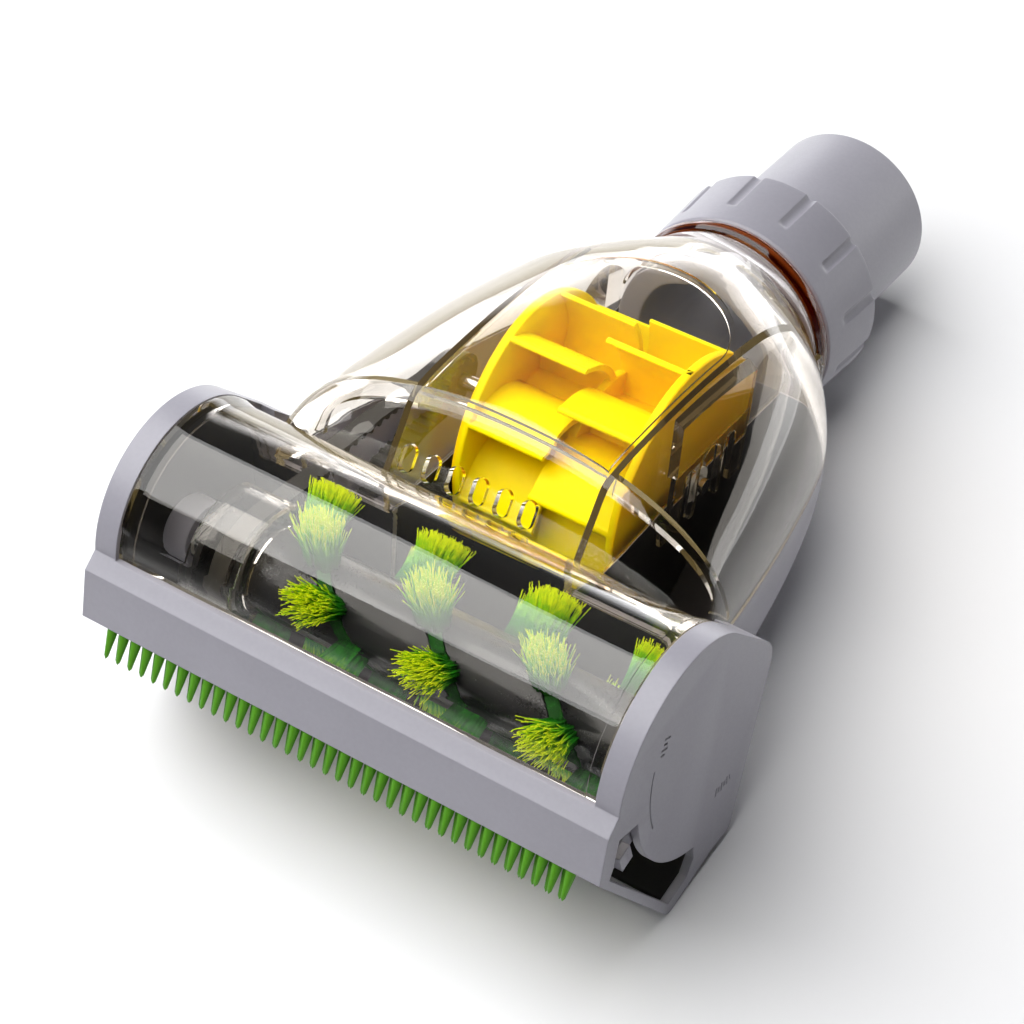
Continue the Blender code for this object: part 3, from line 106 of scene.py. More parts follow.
SHAFT_AXIS = (0.1056, -0.0024)
SADDLE_RADIUS = 0.0045   # seat of the wheel's bushes in the duct walls
SADDLE_HALF = 0.0278
BUSH_SEAT = 0.0057       # seat of the roller's left bush
BUSH_WALL = 0.0024
BUSH_REACH = 0.0066
COVER = 0.0018           # wall of the clear cover
PART_GAP = 0.00015       # half the gap at the parting plane
NECK_END = 0.1590
NECK_RADIUS = 0.0259
NECK_DRAFT = 0.0004
NECK_FRONT = 0.1505
BELL_END = 0.1575
SPIGOT_RADIUS = 0.0243
SPIGOT_WALL = 0.0023
SPIGOT_FRONT = 0.1535
SPIGOT_END = 0.1765
STATIONS = np.array((    # distance, half width, height, depth, squareness above and below
    (0.0490, 0.0570, 0.0070, 0.0405, 2.6, 4.0), (0.0530, 0.0575, 0.0130, 0.0410, 2.6, 4.0),
    (0.0580, 0.0575, 0.0215, 0.0412, 2.5, 4.0), (0.0640, 0.0570, 0.0304, 0.0405, 2.3, 4.0),
    (0.0780, 0.0555, 0.0330, 0.0395, 2.2, 3.8), (0.1020, 0.0518, 0.0342, 0.0383, 2.2, 3.6),
    (0.1270, 0.0460, 0.0331, 0.0352, 2.2, 3.2), (0.1400, 0.0392, 0.0312, 0.0318, 2.1, 2.7),
    (0.1500, 0.0316, 0.0284, 0.0285, 2.0, 2.1), (0.1560, 0.0265, 0.0265, 0.0265, 2.0, 2.0)))
BELL_SEAT_HALF = 0.0578
BELL_POINTS = 97
RAMP_STEP = 0.0008
BELL_STEP = 0.0020
NECK_STEPS = 65
ROUND_STEPS = 128
WINDOW_CENTRE = (0.0500, -0.0030)        # the finger window's arc, and its corners
WINDOW_RADIUS = 0.0367
WINDOW_ARC = (-105.0, -171.3)
WINDOW_FOOT = (0.0037, 0.0019)           # along the sole from the front bar, and inwards
WINDOW_HEEL = (0.0036, 0.0023)           # along the sole from its rear end, and inwards
WINDOW_HEEL_RISE = (0.0075, 0.0022)
WINDOW_REAR = (0.0412, -0.0425)
WINDOW_FRONT = ((0.0063, -0.0072), (0.0050, -0.0143))
MARK_ARC = (170.0, 203.0)
MARK_RADIUS = 0.0322
MARK_WIDTH = 0.00045
MARK_DEPTH = 0.00030
TICK_GROUPS = ((165.0, 4, 0.0300), (279.0, 6, 0.0250))   # first angle, count, radius
TICK_STEP = 2.6
TICK_WIDTH = 1.1
TICK_LENGTHS = (0.0016, 0.0026)


def add(tree, kind, inputs=(), **settings):
    """A node with its settings; an input is a value, or a socket that is linked to it."""
    made = tree.nodes.new(kind)
    for name, value in settings.items():
        setattr(made, name, value)
    for name, value in dict(inputs).items():
        if isinstance(value, bpy.types.NodeSocket):
            tree.links.new(value, made.inputs[name])
        else:
            made.inputs[name].default_value = value
    return made


def ranged(tree, value, low, high, to_low, to_high):
    """A value carried from one range to another, and held at its ends."""
    return add(tree, "ShaderNodeMapRange", {"Value": value, "From Min": low, "From Max": high,
                                            "To Min": to_low, "To Max": to_high}).outputs[0]


def math_node(tree, operation, a, b=0.0):
    """A sum, product or the like of values and sockets."""
    return add(tree, "ShaderNodeMath", {0: a, 1: b}, operation=operation).outputs[0]


def noise(tree, place, scale, detail=2.0, roughness=0.5):
    """Cloudy noise with so many bumps per metre."""
    return add(tree, "ShaderNodeTexNoise", {"Vector": place, "Scale": scale, "Detail": detail,
                                            "Roughness": roughness}).outputs[0]


def new_material(name):
    """A material, its tree and its shader."""
    material = bpy.data.materials.new(name)
    material.use_nodes = True
    return material, material.node_tree, material.node_tree.nodes["Principled BSDF"]


def new_group(name, inputs, outputs):
    """An empty node group with its sockets, and its two end nodes."""
    kinds = {"Colour": "NodeSocketColor", "Normal": "NodeSocketVector"}
    group = bpy.data.node_groups.new(name, "ShaderNodeTree")
    for way, names in (("INPUT", inputs), ("OUTPUT", outputs)):
        for socket in names:
            group.interface.new_socket(socket, in_out=way,
                                       socket_type=kinds.get(socket, "NodeSocketFloat"))
    return group, group.nodes.new("NodeGroupInput").outputs, group.nodes.new("NodeGroupOutput")


def moulded_skin():
    """Skin of a moulded plastic: mould grain, slow tone change, and convex edges that are smoother
    and painted paler, a painted highlight.
    """
    group, given, out = new_group(
        "moulded_skin", ("Colour", "Roughness", "Grain", "Depth", "Rounding"),
        ("Colour", "Roughness", "Normal"))
    place = add(group, "ShaderNodeTexCoord").outputs["Object"]
    grain = noise(group, place, given["Grain"], 3.0, 0.6)
    tone = noise(group, place, 38.0)
    speck = noise(group, place, 900.0, 1.0)
    bent = add(group, "ShaderNodeNewGeometry").outputs["Pointiness"]
    edge = ranged(group, bent, 0.52, 0.62, 0.0, 1.0)
    value = math_node(group, "ADD", ranged(group, tone, 0.3, 0.7, 0.965, 1.035),
                      ranged(group, speck, 0.35, 0.65, -0.015, 0.015))
    # Painted highlight: convex edges are made a tenth paler.
    value = math_node(group, "ADD", value, math_node(group, "MULTIPLY", edge, 0.10))
    colour = add(group, "ShaderNodeHueSaturation",
                 {"Color": given["Colour"], "Value": value}).outputs[0]
    rough = math_node(group, "ADD", given["Roughness"], ranged(group, tone, 0.3, 0.7, -0.04, 0.05))
    rough = math_node(group, "ADD", rough, ranged(group, grain, 0.3, 0.7, -0.05, 0.05))
    rough = math_node(group, "SUBTRACT", rough, math_node(group, "MULTIPLY", edge, 0.08))
    soft = add(group, "ShaderNodeBevel", {"Radius": given["Rounding"]}, samples=4).outputs[0]
    bump = add(group, "ShaderNodeBump", {"Height": grain, "Distance": given["Depth"],
                                         "Normal": soft}).outputs[0]
    for name, socket in (("Colour", colour), ("Roughness", rough), ("Normal", bump)):
        group.links.new(socket, out.inputs[name])
    return group


MOULDED = moulded_skin()


def plastic(name, colour, roughness, grain, depth, rounding=EDGE_ROUNDING, metallic=0.0,
            gloss=0.5):
    """An opaque moulded finish: the skin group feeds a Principled shader."""
    material, tree, shader = new_material(name)
    skin = add(tree, "ShaderNodeGroup", node_tree=MOULDED)
    for socket, value in (("Colour", colour), ("Roughness", roughness), ("Grain", grain),
                          ("Depth", depth), ("Rounding", rounding)):
        skin.inputs[socket].default_value = value
    for given, taken in (("Colour", "Base Color"), ("Roughness", "Roughness"),
                         ("Normal", "Normal")):
        tree.links.new(skin.outputs[given], shader.inputs[taken])
    shader.inputs["Metallic"].default_value = metallic
    shader.inputs["Specular IOR Level"].default_value = gloss
    return material


def smoothed(mesh, sharp=SHARP):
    """Smooth shading, with edges left sharp past an angle in degrees."""
    mesh.shade_smooth()
    mesh.set_sharp_from_angle(angle=math.radians(sharp))


def in_scene(name, data):
    """An object for a mesh, a lamp or a camera."""
    made = bpy.data.objects.new(name, data)
    bpy.context.scene.collection.objects.link(made)
    return made


def add_mesh(name, mesh, material, sharp):
    """An object for a mesh whose place is in its points."""
    smoothed(mesh, sharp)
    mesh.materials.clear()
    if material:
        mesh.materials.append(material)
    return in_scene(name, mesh)


def grid_faces(rows, columns, round_rows=False, round_columns=False):
    """Corner numbers of the quads of a grid, closed round in either direction if asked."""
    i = np.arange(rows if round_rows else rows - 1)[:, None]
    j = np.arange(columns if round_columns else columns - 1)[None, :]
    i_next, j_next = (i + 1) % rows, (j + 1) % columns
    corners = (i * columns + j, i * columns + j_next, i_next * columns + j_next,
               i_next * columns + j)
    return np.stack(np.broadcast_arrays(*corners), -1).reshape(-1, 4)


def skin_faces(rings, points):
    """The quads between closed rings, and a cap over the first and the last."""
    faces = grid_faces(rings, points, round_columns=True).tolist()
    return faces + [list(range(points)), list(range((rings - 1) * points, rings * points))]


def surface(name, points, faces, material=None, sharp=SHARP):
    """A closed mesh from points in the neck's frame, its faces turned outwards."""
    mesh = bpy.data.meshes.new(name)
    mesh.from_pydata(laid(points), [], faces)
    work = bmesh.new()
    work.from_mesh(mesh)
    bmesh.ops.recalc_face_normals(work, faces=work.faces)
    work.to_mesh(mesh)
    work.free()
    return add_mesh(name, mesh, material, sharp)


def skinned(name, rings, material=None, sharp=SHARP):
    """Closed rings (ring, point, xyz) skinned in order, with a flat cap at either end."""
    rows, columns = rings.shape[:2]
    return surface(name, rings.reshape(-1, 3), skin_faces(rows, columns), material, sharp)


def prism(name, outline, x_low, x_high, material=None, sharp=SHARP):
    """A Y-Z outline carried along X."""
    outline = np.asarray(outline, float)
    rings = np.stack([np.column_stack((np.full(len(outline), x), outline))
                      for x in (x_low, x_high)])
    return skinned(name, rings, material, sharp)


def arc(centre, radius, start, end, steps):
    """Points on a circle in the Y-Z plane between two angles in degrees."""
    t = np.radians(np.linspace(start, end, steps + 1))
    return np.column_stack((centre[0] + radius * np.cos(t), centre[1] + radius * np.sin(t)))


def less(tool):
    """A cut."""
    return "DIFFERENCE", tool


def plus(tool):
    """A piece joined on."""
    return "UNION", tool


def within(tool):
    """Only what lies inside the tool stays."""
    return "INTERSECT", tool


def worked(base, *steps):
    """A solid after cuts and unions, one after another; each tool lends its material to the
    faces it leaves and is then removed."""
    for operation, tool in steps:
        if not tool.data.materials:
            tool.data.materials.append(base.data.materials[0] if base.data.materials else None)
        change = base.modifiers.new(operation.lower(), "BOOLEAN")
        change.operation = operation
        change.object = tool
        change.solver = "EXACT"
        change.material_mode = "TRANSFER"
        scene = bpy.context.evaluated_depsgraph_get()
        mesh = bpy.data.meshes.new_from_object(base.evaluated_get(scene))
        base.modifiers.clear()
        base.data = mesh
        bpy.data.objects.remove(tool)
    return base


def block(name, x_range, y_range, z_range, material=None):
    """A box from its ranges in X, Y and Z."""
    (y0, y1), (z0, z1) = y_range, z_range
    return prism(name, [(y0, z0), (y1, z0), (y1, z1), (y0, z1)], *x_range, material)


def rounded(corners, steps=12):
    """An outline whose corners (y, z, radius) are replaced by arcs of that radius."""
    outline = []
    for i, corner in enumerate(corners):
        here = np.array(corner[:2])
        if len(corner) < 3:
            outline.append(here)
            continue
        before = np.array(corners[i - 1][:2]) - here
        after = np.array(corners[(i + 1) % len(corners)][:2]) - here
        before, after = before / np.linalg.norm(before), after / np.linalg.norm(after)
        half = math.acos(float(before @ after)) / 2
        middle = here + (before + after) / np.linalg.norm(before + after) * (
            corner[2] / math.sin(half))
        first = here + before * corner[2] / math.tan(half) - middle
        last = here + after * corner[2] / math.tan(half) - middle
        start, end = math.atan2(first[1], first[0]), math.atan2(last[1], last[0])
        sweep = (end - start + math.pi) % (2 * math.pi) - math.pi
        t = start + sweep * np.linspace(0, 1, steps + 1)[:, None]
        outline += list(middle + corner[2] * np.hstack((np.cos(t), np.sin(t))))
    return np.array(outline)


def side_outline():
    """The end plate: front bar, chamfer, arch, rear shoulder, foot and mouth edge."""
    arch = arc(ARCH_CENTRE, ARCH_RADIUS, 177.0, 48.0, 90)
    rear = rounded([tuple(arch[-1]), *REAR_CORNERS, tuple(BAR_FOOT)])
    return np.vstack((BAR_FOOT, BAR_CHAMFER, arch, rear[1:-1]))


def inset(outline, depth):
    """The outline moved inwards by a depth, corner by corner."""
    ahead = np.roll(outline, -1, axis=0) - outline
    ahead /= np.linalg.norm(ahead, axis=1)[:, None]
    inward = np.column_stack((ahead[:, 1], -ahead[:, 0]))
    middle = inward + np.roll(inward, 1, axis=0)
    middle /= np.linalg.norm(middle, axis=1)[:, None]
    return outline + middle * (depth / np.sum(middle * inward, axis=1))[:, None]


def sole_point(along, inwards):
    """A point measured along the mouth from the front bar, and inwards from it."""
    return tuple(BAR_FOOT + SOLE_ALONG * along + SOLE_IN * inwards)


def sole_box(along, inwards):
    """A rectangle on the mouth's line, from a range along it and one inwards."""
    return [sole_point(along[i], inwards[j]) for i, j in ((0, 0), (1, 0), (1, 1), (0, 1))]


def along_neck(y):
    """Half width, height, depth and both squarenesses of the bell at distances y.

    Between two stations each follows a cubic. Its slope at a station is the harmonic mean of
    the slopes on either side, and is level where they change sign.
    """
    at, value = STATIONS[:, 0], STATIONS[:, 1:]
    y = np.clip(y, at[0], at[-1])
    step = np.diff(at)
    slope = np.diff(value, axis=0) / step[:, None]
    product = slope[1:] * slope[:-1]
    total = np.where(product > 0, slope[1:] + slope[:-1], 1.0)
    knots = np.vstack((slope[:1], np.where(product > 0, 2 * product / total, 0.0), slope[-1:]))
    i = np.clip(np.searchsorted(at, y, side="right") - 1, 0, len(at) - 2)
    t, span = ((y - at[i]) / step[i])[:, None], step[i][:, None]
    return ((2 * t ** 3 - 3 * t ** 2 + 1) * value[i] + (t ** 3 - 2 * t ** 2 + t) * span * knots[i]
            + (3 * t ** 2 - 2 * t ** 3) * value[i + 1] + (t ** 3 - t ** 2) * span * knots[i + 1])


def bell_rings(y, wall, base, above=True, points=BELL_POINTS):
    """Sections of the bell: x = w cos(t)^(2/n), z = base + (h - base) sin(t)^(2/n), t to a half turn.

    The hull below takes the depth for h and turns z over. With a wall, width, height and depth
    are the least of the section and its neighbours on either side, less the wall, so that the
    wall keeps its thickness on the steep ramp too.
    """
    size = along_neck(y)
    if wall:
        near = np.stack([along_neck(y + way * wall * 0.75)[:, :3] for way in (-1, 0, 1)])
        size[:, :3] = near.min(axis=0) - wall
    width, rise, square = size[:, [0, 1 if above else 2, 3 if above else 4]].T[:, :, None]
    t = np.linspace(0, np.pi, points)[None, :]
    c, s = np.cos(t), np.sin(t)
    x = width * np.sign(c) * np.abs(c) ** (2 / square)
    z = base + (rise - base) * np.abs(s) ** (2 / square)
    return np.stack(np.broadcast_arrays(x, y[:, None], z if above else -z), -1)


def bell_places(front, rear):
    """Distances of the bell's sections, close together on the ramp."""
    knee = STATIONS[3, 0]
    ramp = np.linspace(front, knee, int((knee - front) / RAMP_STEP) + 2)
    rest = np.linspace(knee, rear, int((rear - knee) / BELL_STEP) + 2)
    return np.concatenate((ramp[:-1], rest))


def bell(name, above=True, wall=0.0, base=PART_GAP, front=STATIONS[0, 0], rear=BELL_END,
         material=None):
    """The bell above the parting plane, or the hull below it, as one solid."""
    return skinned(name, bell_rings(bell_places(front, rear), wall, base, above), material)


def both_sides(name, x_range, y_range, z_range):
    """The same block at both sides, as two cuts."""
    low, high = x_range
    return [less(block(name + "_right", (low, high), y_range, z_range)),
            less(block(name + "_left", (-high, -low), y_range, z_range))]


def turned(name, profile, centre, axis, material, steps=ROUND_STEPS, sharp=SHARP):
    """A closed profile of (distance along the axis, radius) turned round the X or Y axis."""
    profile = np.asarray(profile, float)
    t = 2 * np.pi * np.arange(steps)[:, None] / steps
    a, r = np.broadcast_arrays(profile[None, :, 0], np.zeros((steps, 1)))[0], profile[None, :, 1]
    first, second = centre[0] + r * np.cos(t), centre[1] + r * np.sin(t)
    order = (a, first, second) if axis == "X" else (first, a, second)
    points = np.stack(order, -1).reshape(-1, 3)
    faces = grid_faces(steps, len(profile), True, True).tolist()
    return surface(name, points, faces, material, sharp)


def half_turned(name, profile, above):
    """Half of a turned neck piece, above or below the parting plane, closed at its flats."""
    profile = np.asarray(profile, float)
    low = math.asin(PART_GAP / profile[:, 1].max())
    t = np.linspace(low, np.pi - low, NECK_STEPS)[:, None] * (1 if above else -1)
    a = np.broadcast_to(profile[None, :, 0], (NECK_STEPS, len(profile)))
    rings = np.stack((profile[None, :, 1] * np.cos(t), a, profile[None, :, 1] * np.sin(t)), -1)
    return skinned(name, rings)


def plate_mark(name, start, end, radius, width):
    """A stretch of an arc round the mark's centre, as a shallow cutter in the right plate."""
    steps = max(2, int(abs(end - start) / 4))
    outline = np.vstack((arc(WINDOW_CENTRE, radius + width / 2, start, end, steps),
                         arc(WINDOW_CENTRE, radius - width / 2, end, start, steps)))
    return prism(name, outline, HALF - MARK_DEPTH, HALF + MARK_DEPTH)


grey = plastic("grey_moulding", GREY, GREY_ROUGHNESS, GREY_GRAIN, GREY_DEPTH)
# Painted shade: a near-black for the housing's inner faces, where shade falls.
painted_shade_inside = plastic("painted_shade_inside", (0.012, 0.011, 0.012, 1.0), 0.60, 1500.0, 0.00002,
                       gloss=0.2)
SOLE_LINE = np.array(REAR_CORNERS[-1][:2]) - BAR_FOOT
SOLE_LENGTH = float(np.linalg.norm(SOLE_LINE))
SOLE_ALONG = SOLE_LINE / SOLE_LENGTH
SOLE_IN = np.array((-SOLE_ALONG[1], SOLE_ALONG[0]))

# The room cutter carries the painted shade to the inner faces it leaves.
room = prism("nozzle_room", inset(side_outline(), SHELL), -INSIDE, INSIDE, painted_shade_inside)
foot = sole_box((-PAST, BAR_FOOT_LENGTH), (-PAST, BAR_FOOT_DEPTH))
room = worked(
    room,
    less(prism("room_foot", foot, -HALF, HALF)),
    plus(bell("hull_room", False, SHELL, -PAST, PARTITION_Y - PAST, NECK_END + PAST)),
    *both_sides("partition", (DUCT_HALF, HALF + PAST), (PARTITION_Y, PARTITION_Y + COVER), DEEP),
    *both_sides("duct_wall", (DUCT_HALF, DUCT_HALF + DUCT_WALL), (PARTITION_Y + GAP, REAR), DEEP),
    *both_sides("chamber_end", (DUCT_HALF + GAP, HALF), (CHAMBER_END, REAR), DEEP))
neck_profile = [(NECK_FRONT, SPIGOT_RADIUS - BITE), (NECK_FRONT, NECK_RADIUS - NECK_DRAFT),
                (NECK_END, NECK_RADIUS), (NECK_END, SPIGOT_RADIUS - BITE)]
spigot_profile = [(SPIGOT_FRONT, SPIGOT_RADIUS), (SPIGOT_END, SPIGOT_RADIUS),
                  (SPIGOT_END, SPIGOT_RADIUS - SPIGOT_WALL),
                  (SPIGOT_FRONT, SPIGOT_RADIUS - SPIGOT_WALL)]
mouth = sole_box((BAR_FOOT_LENGTH + GAP, SOLE_LENGTH - MOUTH_REAR_RIM), (-PAST, 3 * SHELL))
mouth_half = INSIDE - MOUTH_SIDE_RIM
heel = np.array(sole_point(SOLE_LENGTH - WINDOW_HEEL[0], WINDOW_HEEL[1]))
window = np.vstack((sole_point(*WINDOW_FOOT), heel, heel + WINDOW_HEEL_RISE, WINDOW_REAR,
                    arc(WINDOW_CENTRE, WINDOW_RADIUS, *WINDOW_ARC, 48), WINDOW_FRONT))
channel = sole_box(CHANNEL, (-PAST, CHANNEL_DEPTH))
left_ring = [(-INSIDE - BITE, BUSH_SEAT), (-INSIDE - BITE, BUSH_SEAT + BUSH_WALL),
             (-INSIDE + BUSH_REACH, BUSH_SEAT + BUSH_WALL), (-INSIDE + BUSH_REACH, BUSH_SEAT)]
saddle = arc(SHAFT_AXIS, SADDLE_RADIUS, 180, 360, 24)
saddle = np.vstack((saddle, (SHAFT_AXIS[0] + SADDLE_RADIUS, -SHAFT_AXIS[1]),
                    (SHAFT_AXIS[0] - SADDLE_RADIUS, -SHAFT_AXIS[1])))
work = [
    less(block("dome_seat", (-HALF + END_BAND, HALF - END_BAND),
               (FRONT, ARCH_CENTRE[0] + DOME_RADIUS + GAP), (-PART_GAP, TOP))),
    less(block("bell_seat", (-BELL_SEAT_HALF, BELL_SEAT_HALF), (ARCH_CENTRE[0], REAR),
               (-PART_GAP, TOP))),
    plus(bell("hull", False)),
    less(room),
    plus(half_turned("neck_lower", neck_profile, False)),
    plus(turned("spigot", spigot_profile, (0.0, 0.0), "Y", grey)),
    less(prism("mouth", mouth, -mouth_half, mouth_half)),
    less(prism("window", window, INSIDE - OVER, HALF + OVER)),
    less(prism("comb_channel", channel, -CHANNEL_HALF, CHANNEL_HALF)),
    plus(turned("bush_ring", left_ring, ROLLER_AXIS[1:], "X", grey)),
    less(prism("saddle", saddle, -SADDLE_HALF, SADDLE_HALF)),
    less(block("belt_slot", BELT_SLOT, (PARTITION_Y - OVER, PARTITION_Y + COVER + OVER),
               (BELT_SLOT_FOOT, PAST))),
    less(plate_mark("mark_arc", *MARK_ARC, MARK_RADIUS, MARK_WIDTH))]
for first, count, radius in TICK_GROUPS:
    for tick in range(count):
        angle = first - TICK_STEP * tick
        work.append(less(plate_mark(f"tick_{first:.0f}_{tick}", angle, angle - TICK_WIDTH,
                                    radius, TICK_LENGTHS[tick % 2])))
housing = worked(prism("housing_shell", side_outline(), -HALF, HALF, grey), *work)

# Painted shade: the cutters left the inner faces near-black, for the shade inside the housing, though
# the moulding is grey all through. The left chamber, which is lit, and the tops of the duct walls
# keep the grey of the moulding.
faces = housing.data.polygons
spots, slots = np.empty(3 * len(faces)), np.empty(len(faces), np.int32)
faces.foreach_get("center", spots)
faces.foreach_get("material_index", slots)
spots = (spots.reshape(-1, 3) - NECK_ORIGIN) @ NECK_FRAME.T
left_chamber = (spots[:, 0] < -DUCT_HALF) & (spots[:, 1] > PARTITION_Y)
in_walls = np.abs(np.abs(spots[:, 0]) - DUCT_HALF - DUCT_WALL / 2) < DUCT_WALL / 2 + WALL_SPARE
wall_tops = in_walls & (spots[:, 2] > -BITE)
faces.foreach_set("material_index", np.where(left_chamber | wall_tops, 0, slots))
smoothed(housing.data)
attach(housing, "nozzle")
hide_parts("lower_housing")

# Roller lock. A grey lever on the inside of the right plate, moulded like the housing. It holds
# the roller's right bush, and its tab stands in the finger window.
SAME_POINT = 0.000002
SAME_PLANE = 0.4         # degrees


def merged_copy(name, node, material, sharp=SHARP):
    """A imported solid's own shape: its loose triangles merged, and flat ones made one face."""
    mesh = frame["nodes"][node].data.copy()
    work = bmesh.new()
    work.from_mesh(mesh)
    bmesh.ops.remove_doubles(work, verts=work.verts, dist=SAME_POINT)
    bmesh.ops.dissolve_limit(work, angle_limit=math.radians(SAME_PLANE), verts=work.verts,
                             edges=work.edges)
    work.to_mesh(mesh)
    work.free()
    mesh.name = name
    return add_mesh(name, mesh, material, sharp)


lock = merged_copy("lock_lever", "roller_lock", grey)
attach(lock, "roller_lock_lever")
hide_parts("roller_lock")

# Roller bushes. Plain white rings of a self-lubricating plastic, pressed into the left plate
# and into the cup of the lock.
bush_white = plastic("bush_white", (0.70, 0.69, 0.65, 1.0), 0.38, 3000.0, 0.000006, 0.0002)
for side, body in (("left", "nozzle"), ("right", "roller_lock_lever")):
    bush = merged_copy(f"roller_bush_{side}", f"roller_bearing_{side}", bush_white)
    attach(bush, body)
    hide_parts(f"roller_bearing_{side}")

# Roller core. Black plastic, moulded in one with its journals and the flange that keeps the
# belt off the bristles; two spiral grooves hold the bristle strips.
core_black = plastic("core_black", (0.012, 0.012, 0.014, 1.0), 0.34, 1800.0, 0.00001)
core = merged_copy("roller_core", "brush_core", core_black)
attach(core, "roller")
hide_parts("brush_core")

# Bristle rows. Two rubbery strips wound along the core, each with tufts of nylon fibres that fan out;
# the fibres are green, yellow-green at the tip, and painted dark towards the root as painted shade
# within the tuft.
CORE_RADIUS = 0.0102
STRIP_WIDTH = 0.0042
STRIP_DEPTH = 0.0014
STRIP_STEPS = 120
SPIRAL_PITCH = 0.060
SPIRAL_START = 1.15
TUFT_ENDS = (-0.0330, 0.0520)
STRIP_SPARE = 0.0030
TUFTS_IN_ROW = 12
TUFT_FIBRES = 300
FIBRE_REACH = 0.0240
FIBRE_THICK = 0.00019
FIBRE_SINK = 0.0004
FIBRE_BEND = 0.0010
FIBRE_RINGS = 4
FIBRE_SIDES = 3
TIP_DOME = 0.0010                # how much shorter the outer fibres of a tuft are
TIP_SPREAD = 0.0011              # and how much their lengths differ
TUFT_ROOT = (0.0044, 0.0028)     # half length along the roller and half width of a tuft's foot
TUFT_FAN = (0.0060, 0.0044)      # the same at its tip
# Towards the root the colour is painted dark, a painted shade.
NYLON_HUE_AND_SHADE_STOPS = ((0.0, (0.002, 0.06, 0.001, 1.0)), (0.35, (0.012, 0.25, 0.003, 1.0)),
               (0.62, (0.22, 0.60, 0.004, 1.0)), (0.90, (0.80, 0.92, 0.008, 1.0)))


def spiral_angle(x, row):
    """Turn of a row round the roller at distances x along it."""
    return 2 * np.pi * x / SPIRAL_PITCH + np.pi * row + SPIRAL_START


def round_roller(x, radius, angle):
    """Points at a distance from the roller's axis, in the neck's frame."""
    return np.stack((x, ROLLER_AXIS[1] + radius * np.cos(angle),
                     ROLLER_AXIS[2] + radius * np.sin(angle)), -1)


def repeated(faces, starts):
    """The same faces once more from each start."""
    faces = np.asarray(faces)
    return (faces[None] + np.reshape(starts, (-1, 1, 1))).reshape(-1, faces.shape[1]).tolist()


def bristle_row(name, row, material, seed):
    """A strip of rectangular section on a helix, and fibres that stand on it.

    Strip: four corners at two radii and two swings, carried along x at the spiral's angle.
    Fibre: a triangle carried from a foot on the strip to a tip on the reach, its bend growing
    with the square of the way and its section shrinking; foot and tip are the same point of
    a unit disc, stretched over the tuft's foot and over its fan.
    """
    chance = np.random.default_rng(seed)
    x = np.linspace(TUFT_ENDS[0] - STRIP_SPARE, TUFT_ENDS[1] + STRIP_SPARE, STRIP_STEPS)
    swing = STRIP_WIDTH / 2 / CORE_RADIUS
    corners = ((CORE_RADIUS - STRIP_DEPTH, -swing), (CORE_RADIUS - STRIP_DEPTH, swing),
               (CORE_RADIUS, swing), (CORE_RADIUS, -swing))
    strip = np.stack([round_roller(x, r, spiral_angle(x, row) + a) for r, a in corners], 1)
    points = [strip.reshape(-1, 3)]
    faces = skin_faces(STRIP_STEPS, 4)

    centres = np.repeat(np.linspace(*TUFT_ENDS, TUFTS_IN_ROW), TUFT_FIBRES)
    total = len(centres)
    disc_r = np.sqrt(chance.random(total))
    disc_t = 2 * np.pi * chance.random(total)
    u, v = disc_r * np.cos(disc_t), disc_r * np.sin(disc_t)
    reach = FIBRE_REACH - TIP_DOME * disc_r ** 2 - TIP_SPREAD * chance.random(total)
    bend = FIBRE_BEND * chance.standard_normal((total, 2))
    way = np.linspace(0.0, 1.0, FIBRE_RINGS)[None, :]
    fan = way ** 1.25
    along = (centres[:, None] + u[:, None] * (TUFT_ROOT[0] + (TUFT_FAN[0] - TUFT_ROOT[0]) * fan)
             + bend[:, :1] * way ** 2)
    radius = CORE_RADIUS - FIBRE_SINK + (reach[:, None] - CORE_RADIUS + FIBRE_SINK) * way
    sideways = (v[:, None] * (TUFT_ROOT[1] + (TUFT_FAN[1] - TUFT_ROOT[1]) * fan)
                + bend[:, 1:] * way ** 2)
    angle = spiral_angle(centres, row)[:, None] + sideways / radius
    thick = FIBRE_THICK * (1.0 - 0.45 * way)
    three = 2 * np.pi * np.arange(FIBRE_SIDES) / FIBRE_SIDES
    fibre = round_roller(along[..., None] + thick[..., None] * np.cos(three),
                         np.broadcast_to(radius[..., None], along.shape + three.shape),
                         angle[..., None] + thick[..., None] * np.sin(three) / radius[..., None])
    starts = len(points[0]) + FIBRE_RINGS * FIBRE_SIDES * np.arange(total)
    for part in (grid_faces(FIBRE_RINGS, FIBRE_SIDES, round_columns=True), [(2, 1, 0)],
                 [(9, 10, 11)]):
        faces += repeated(part, starts)
    points.append(fibre.reshape(-1, 3))
    return surface(name, np.vstack(points), faces, material, sharp=60.0)


def from_axis(tree, point):
    """The way from a point on an axis along X, and the distance from that axis."""
    place = add(tree, "ShaderNodeTexCoord").outputs["Object"]
    way = add(tree, "ShaderNodeVectorMath", {0: place, 1: tuple(laid(point))},
              operation="SUBTRACT").outputs[0]
    flat = add(tree, "ShaderNodeVectorMath", {0: way, 1: (0.0, 1.0, 1.0)},
               operation="MULTIPLY").outputs[0]
    return way, add(tree, "ShaderNodeVectorMath", {0: flat}, operation="LENGTH").outputs["Value"]


def colour_ramp(tree, share, stops):
    """The colour for a share, from (share, colour) stops."""
    ramp = add(tree, "ShaderNodeValToRGB", {"Fac": share})
    marks = ramp.color_ramp.elements
    marks[0].position, marks[0].color = stops[0]
    marks[1].position, marks[1].color = stops[-1]
    for position, colour in stops[1:-1]:
        marks.new(position).color = colour
    return ramp.outputs["Color"]


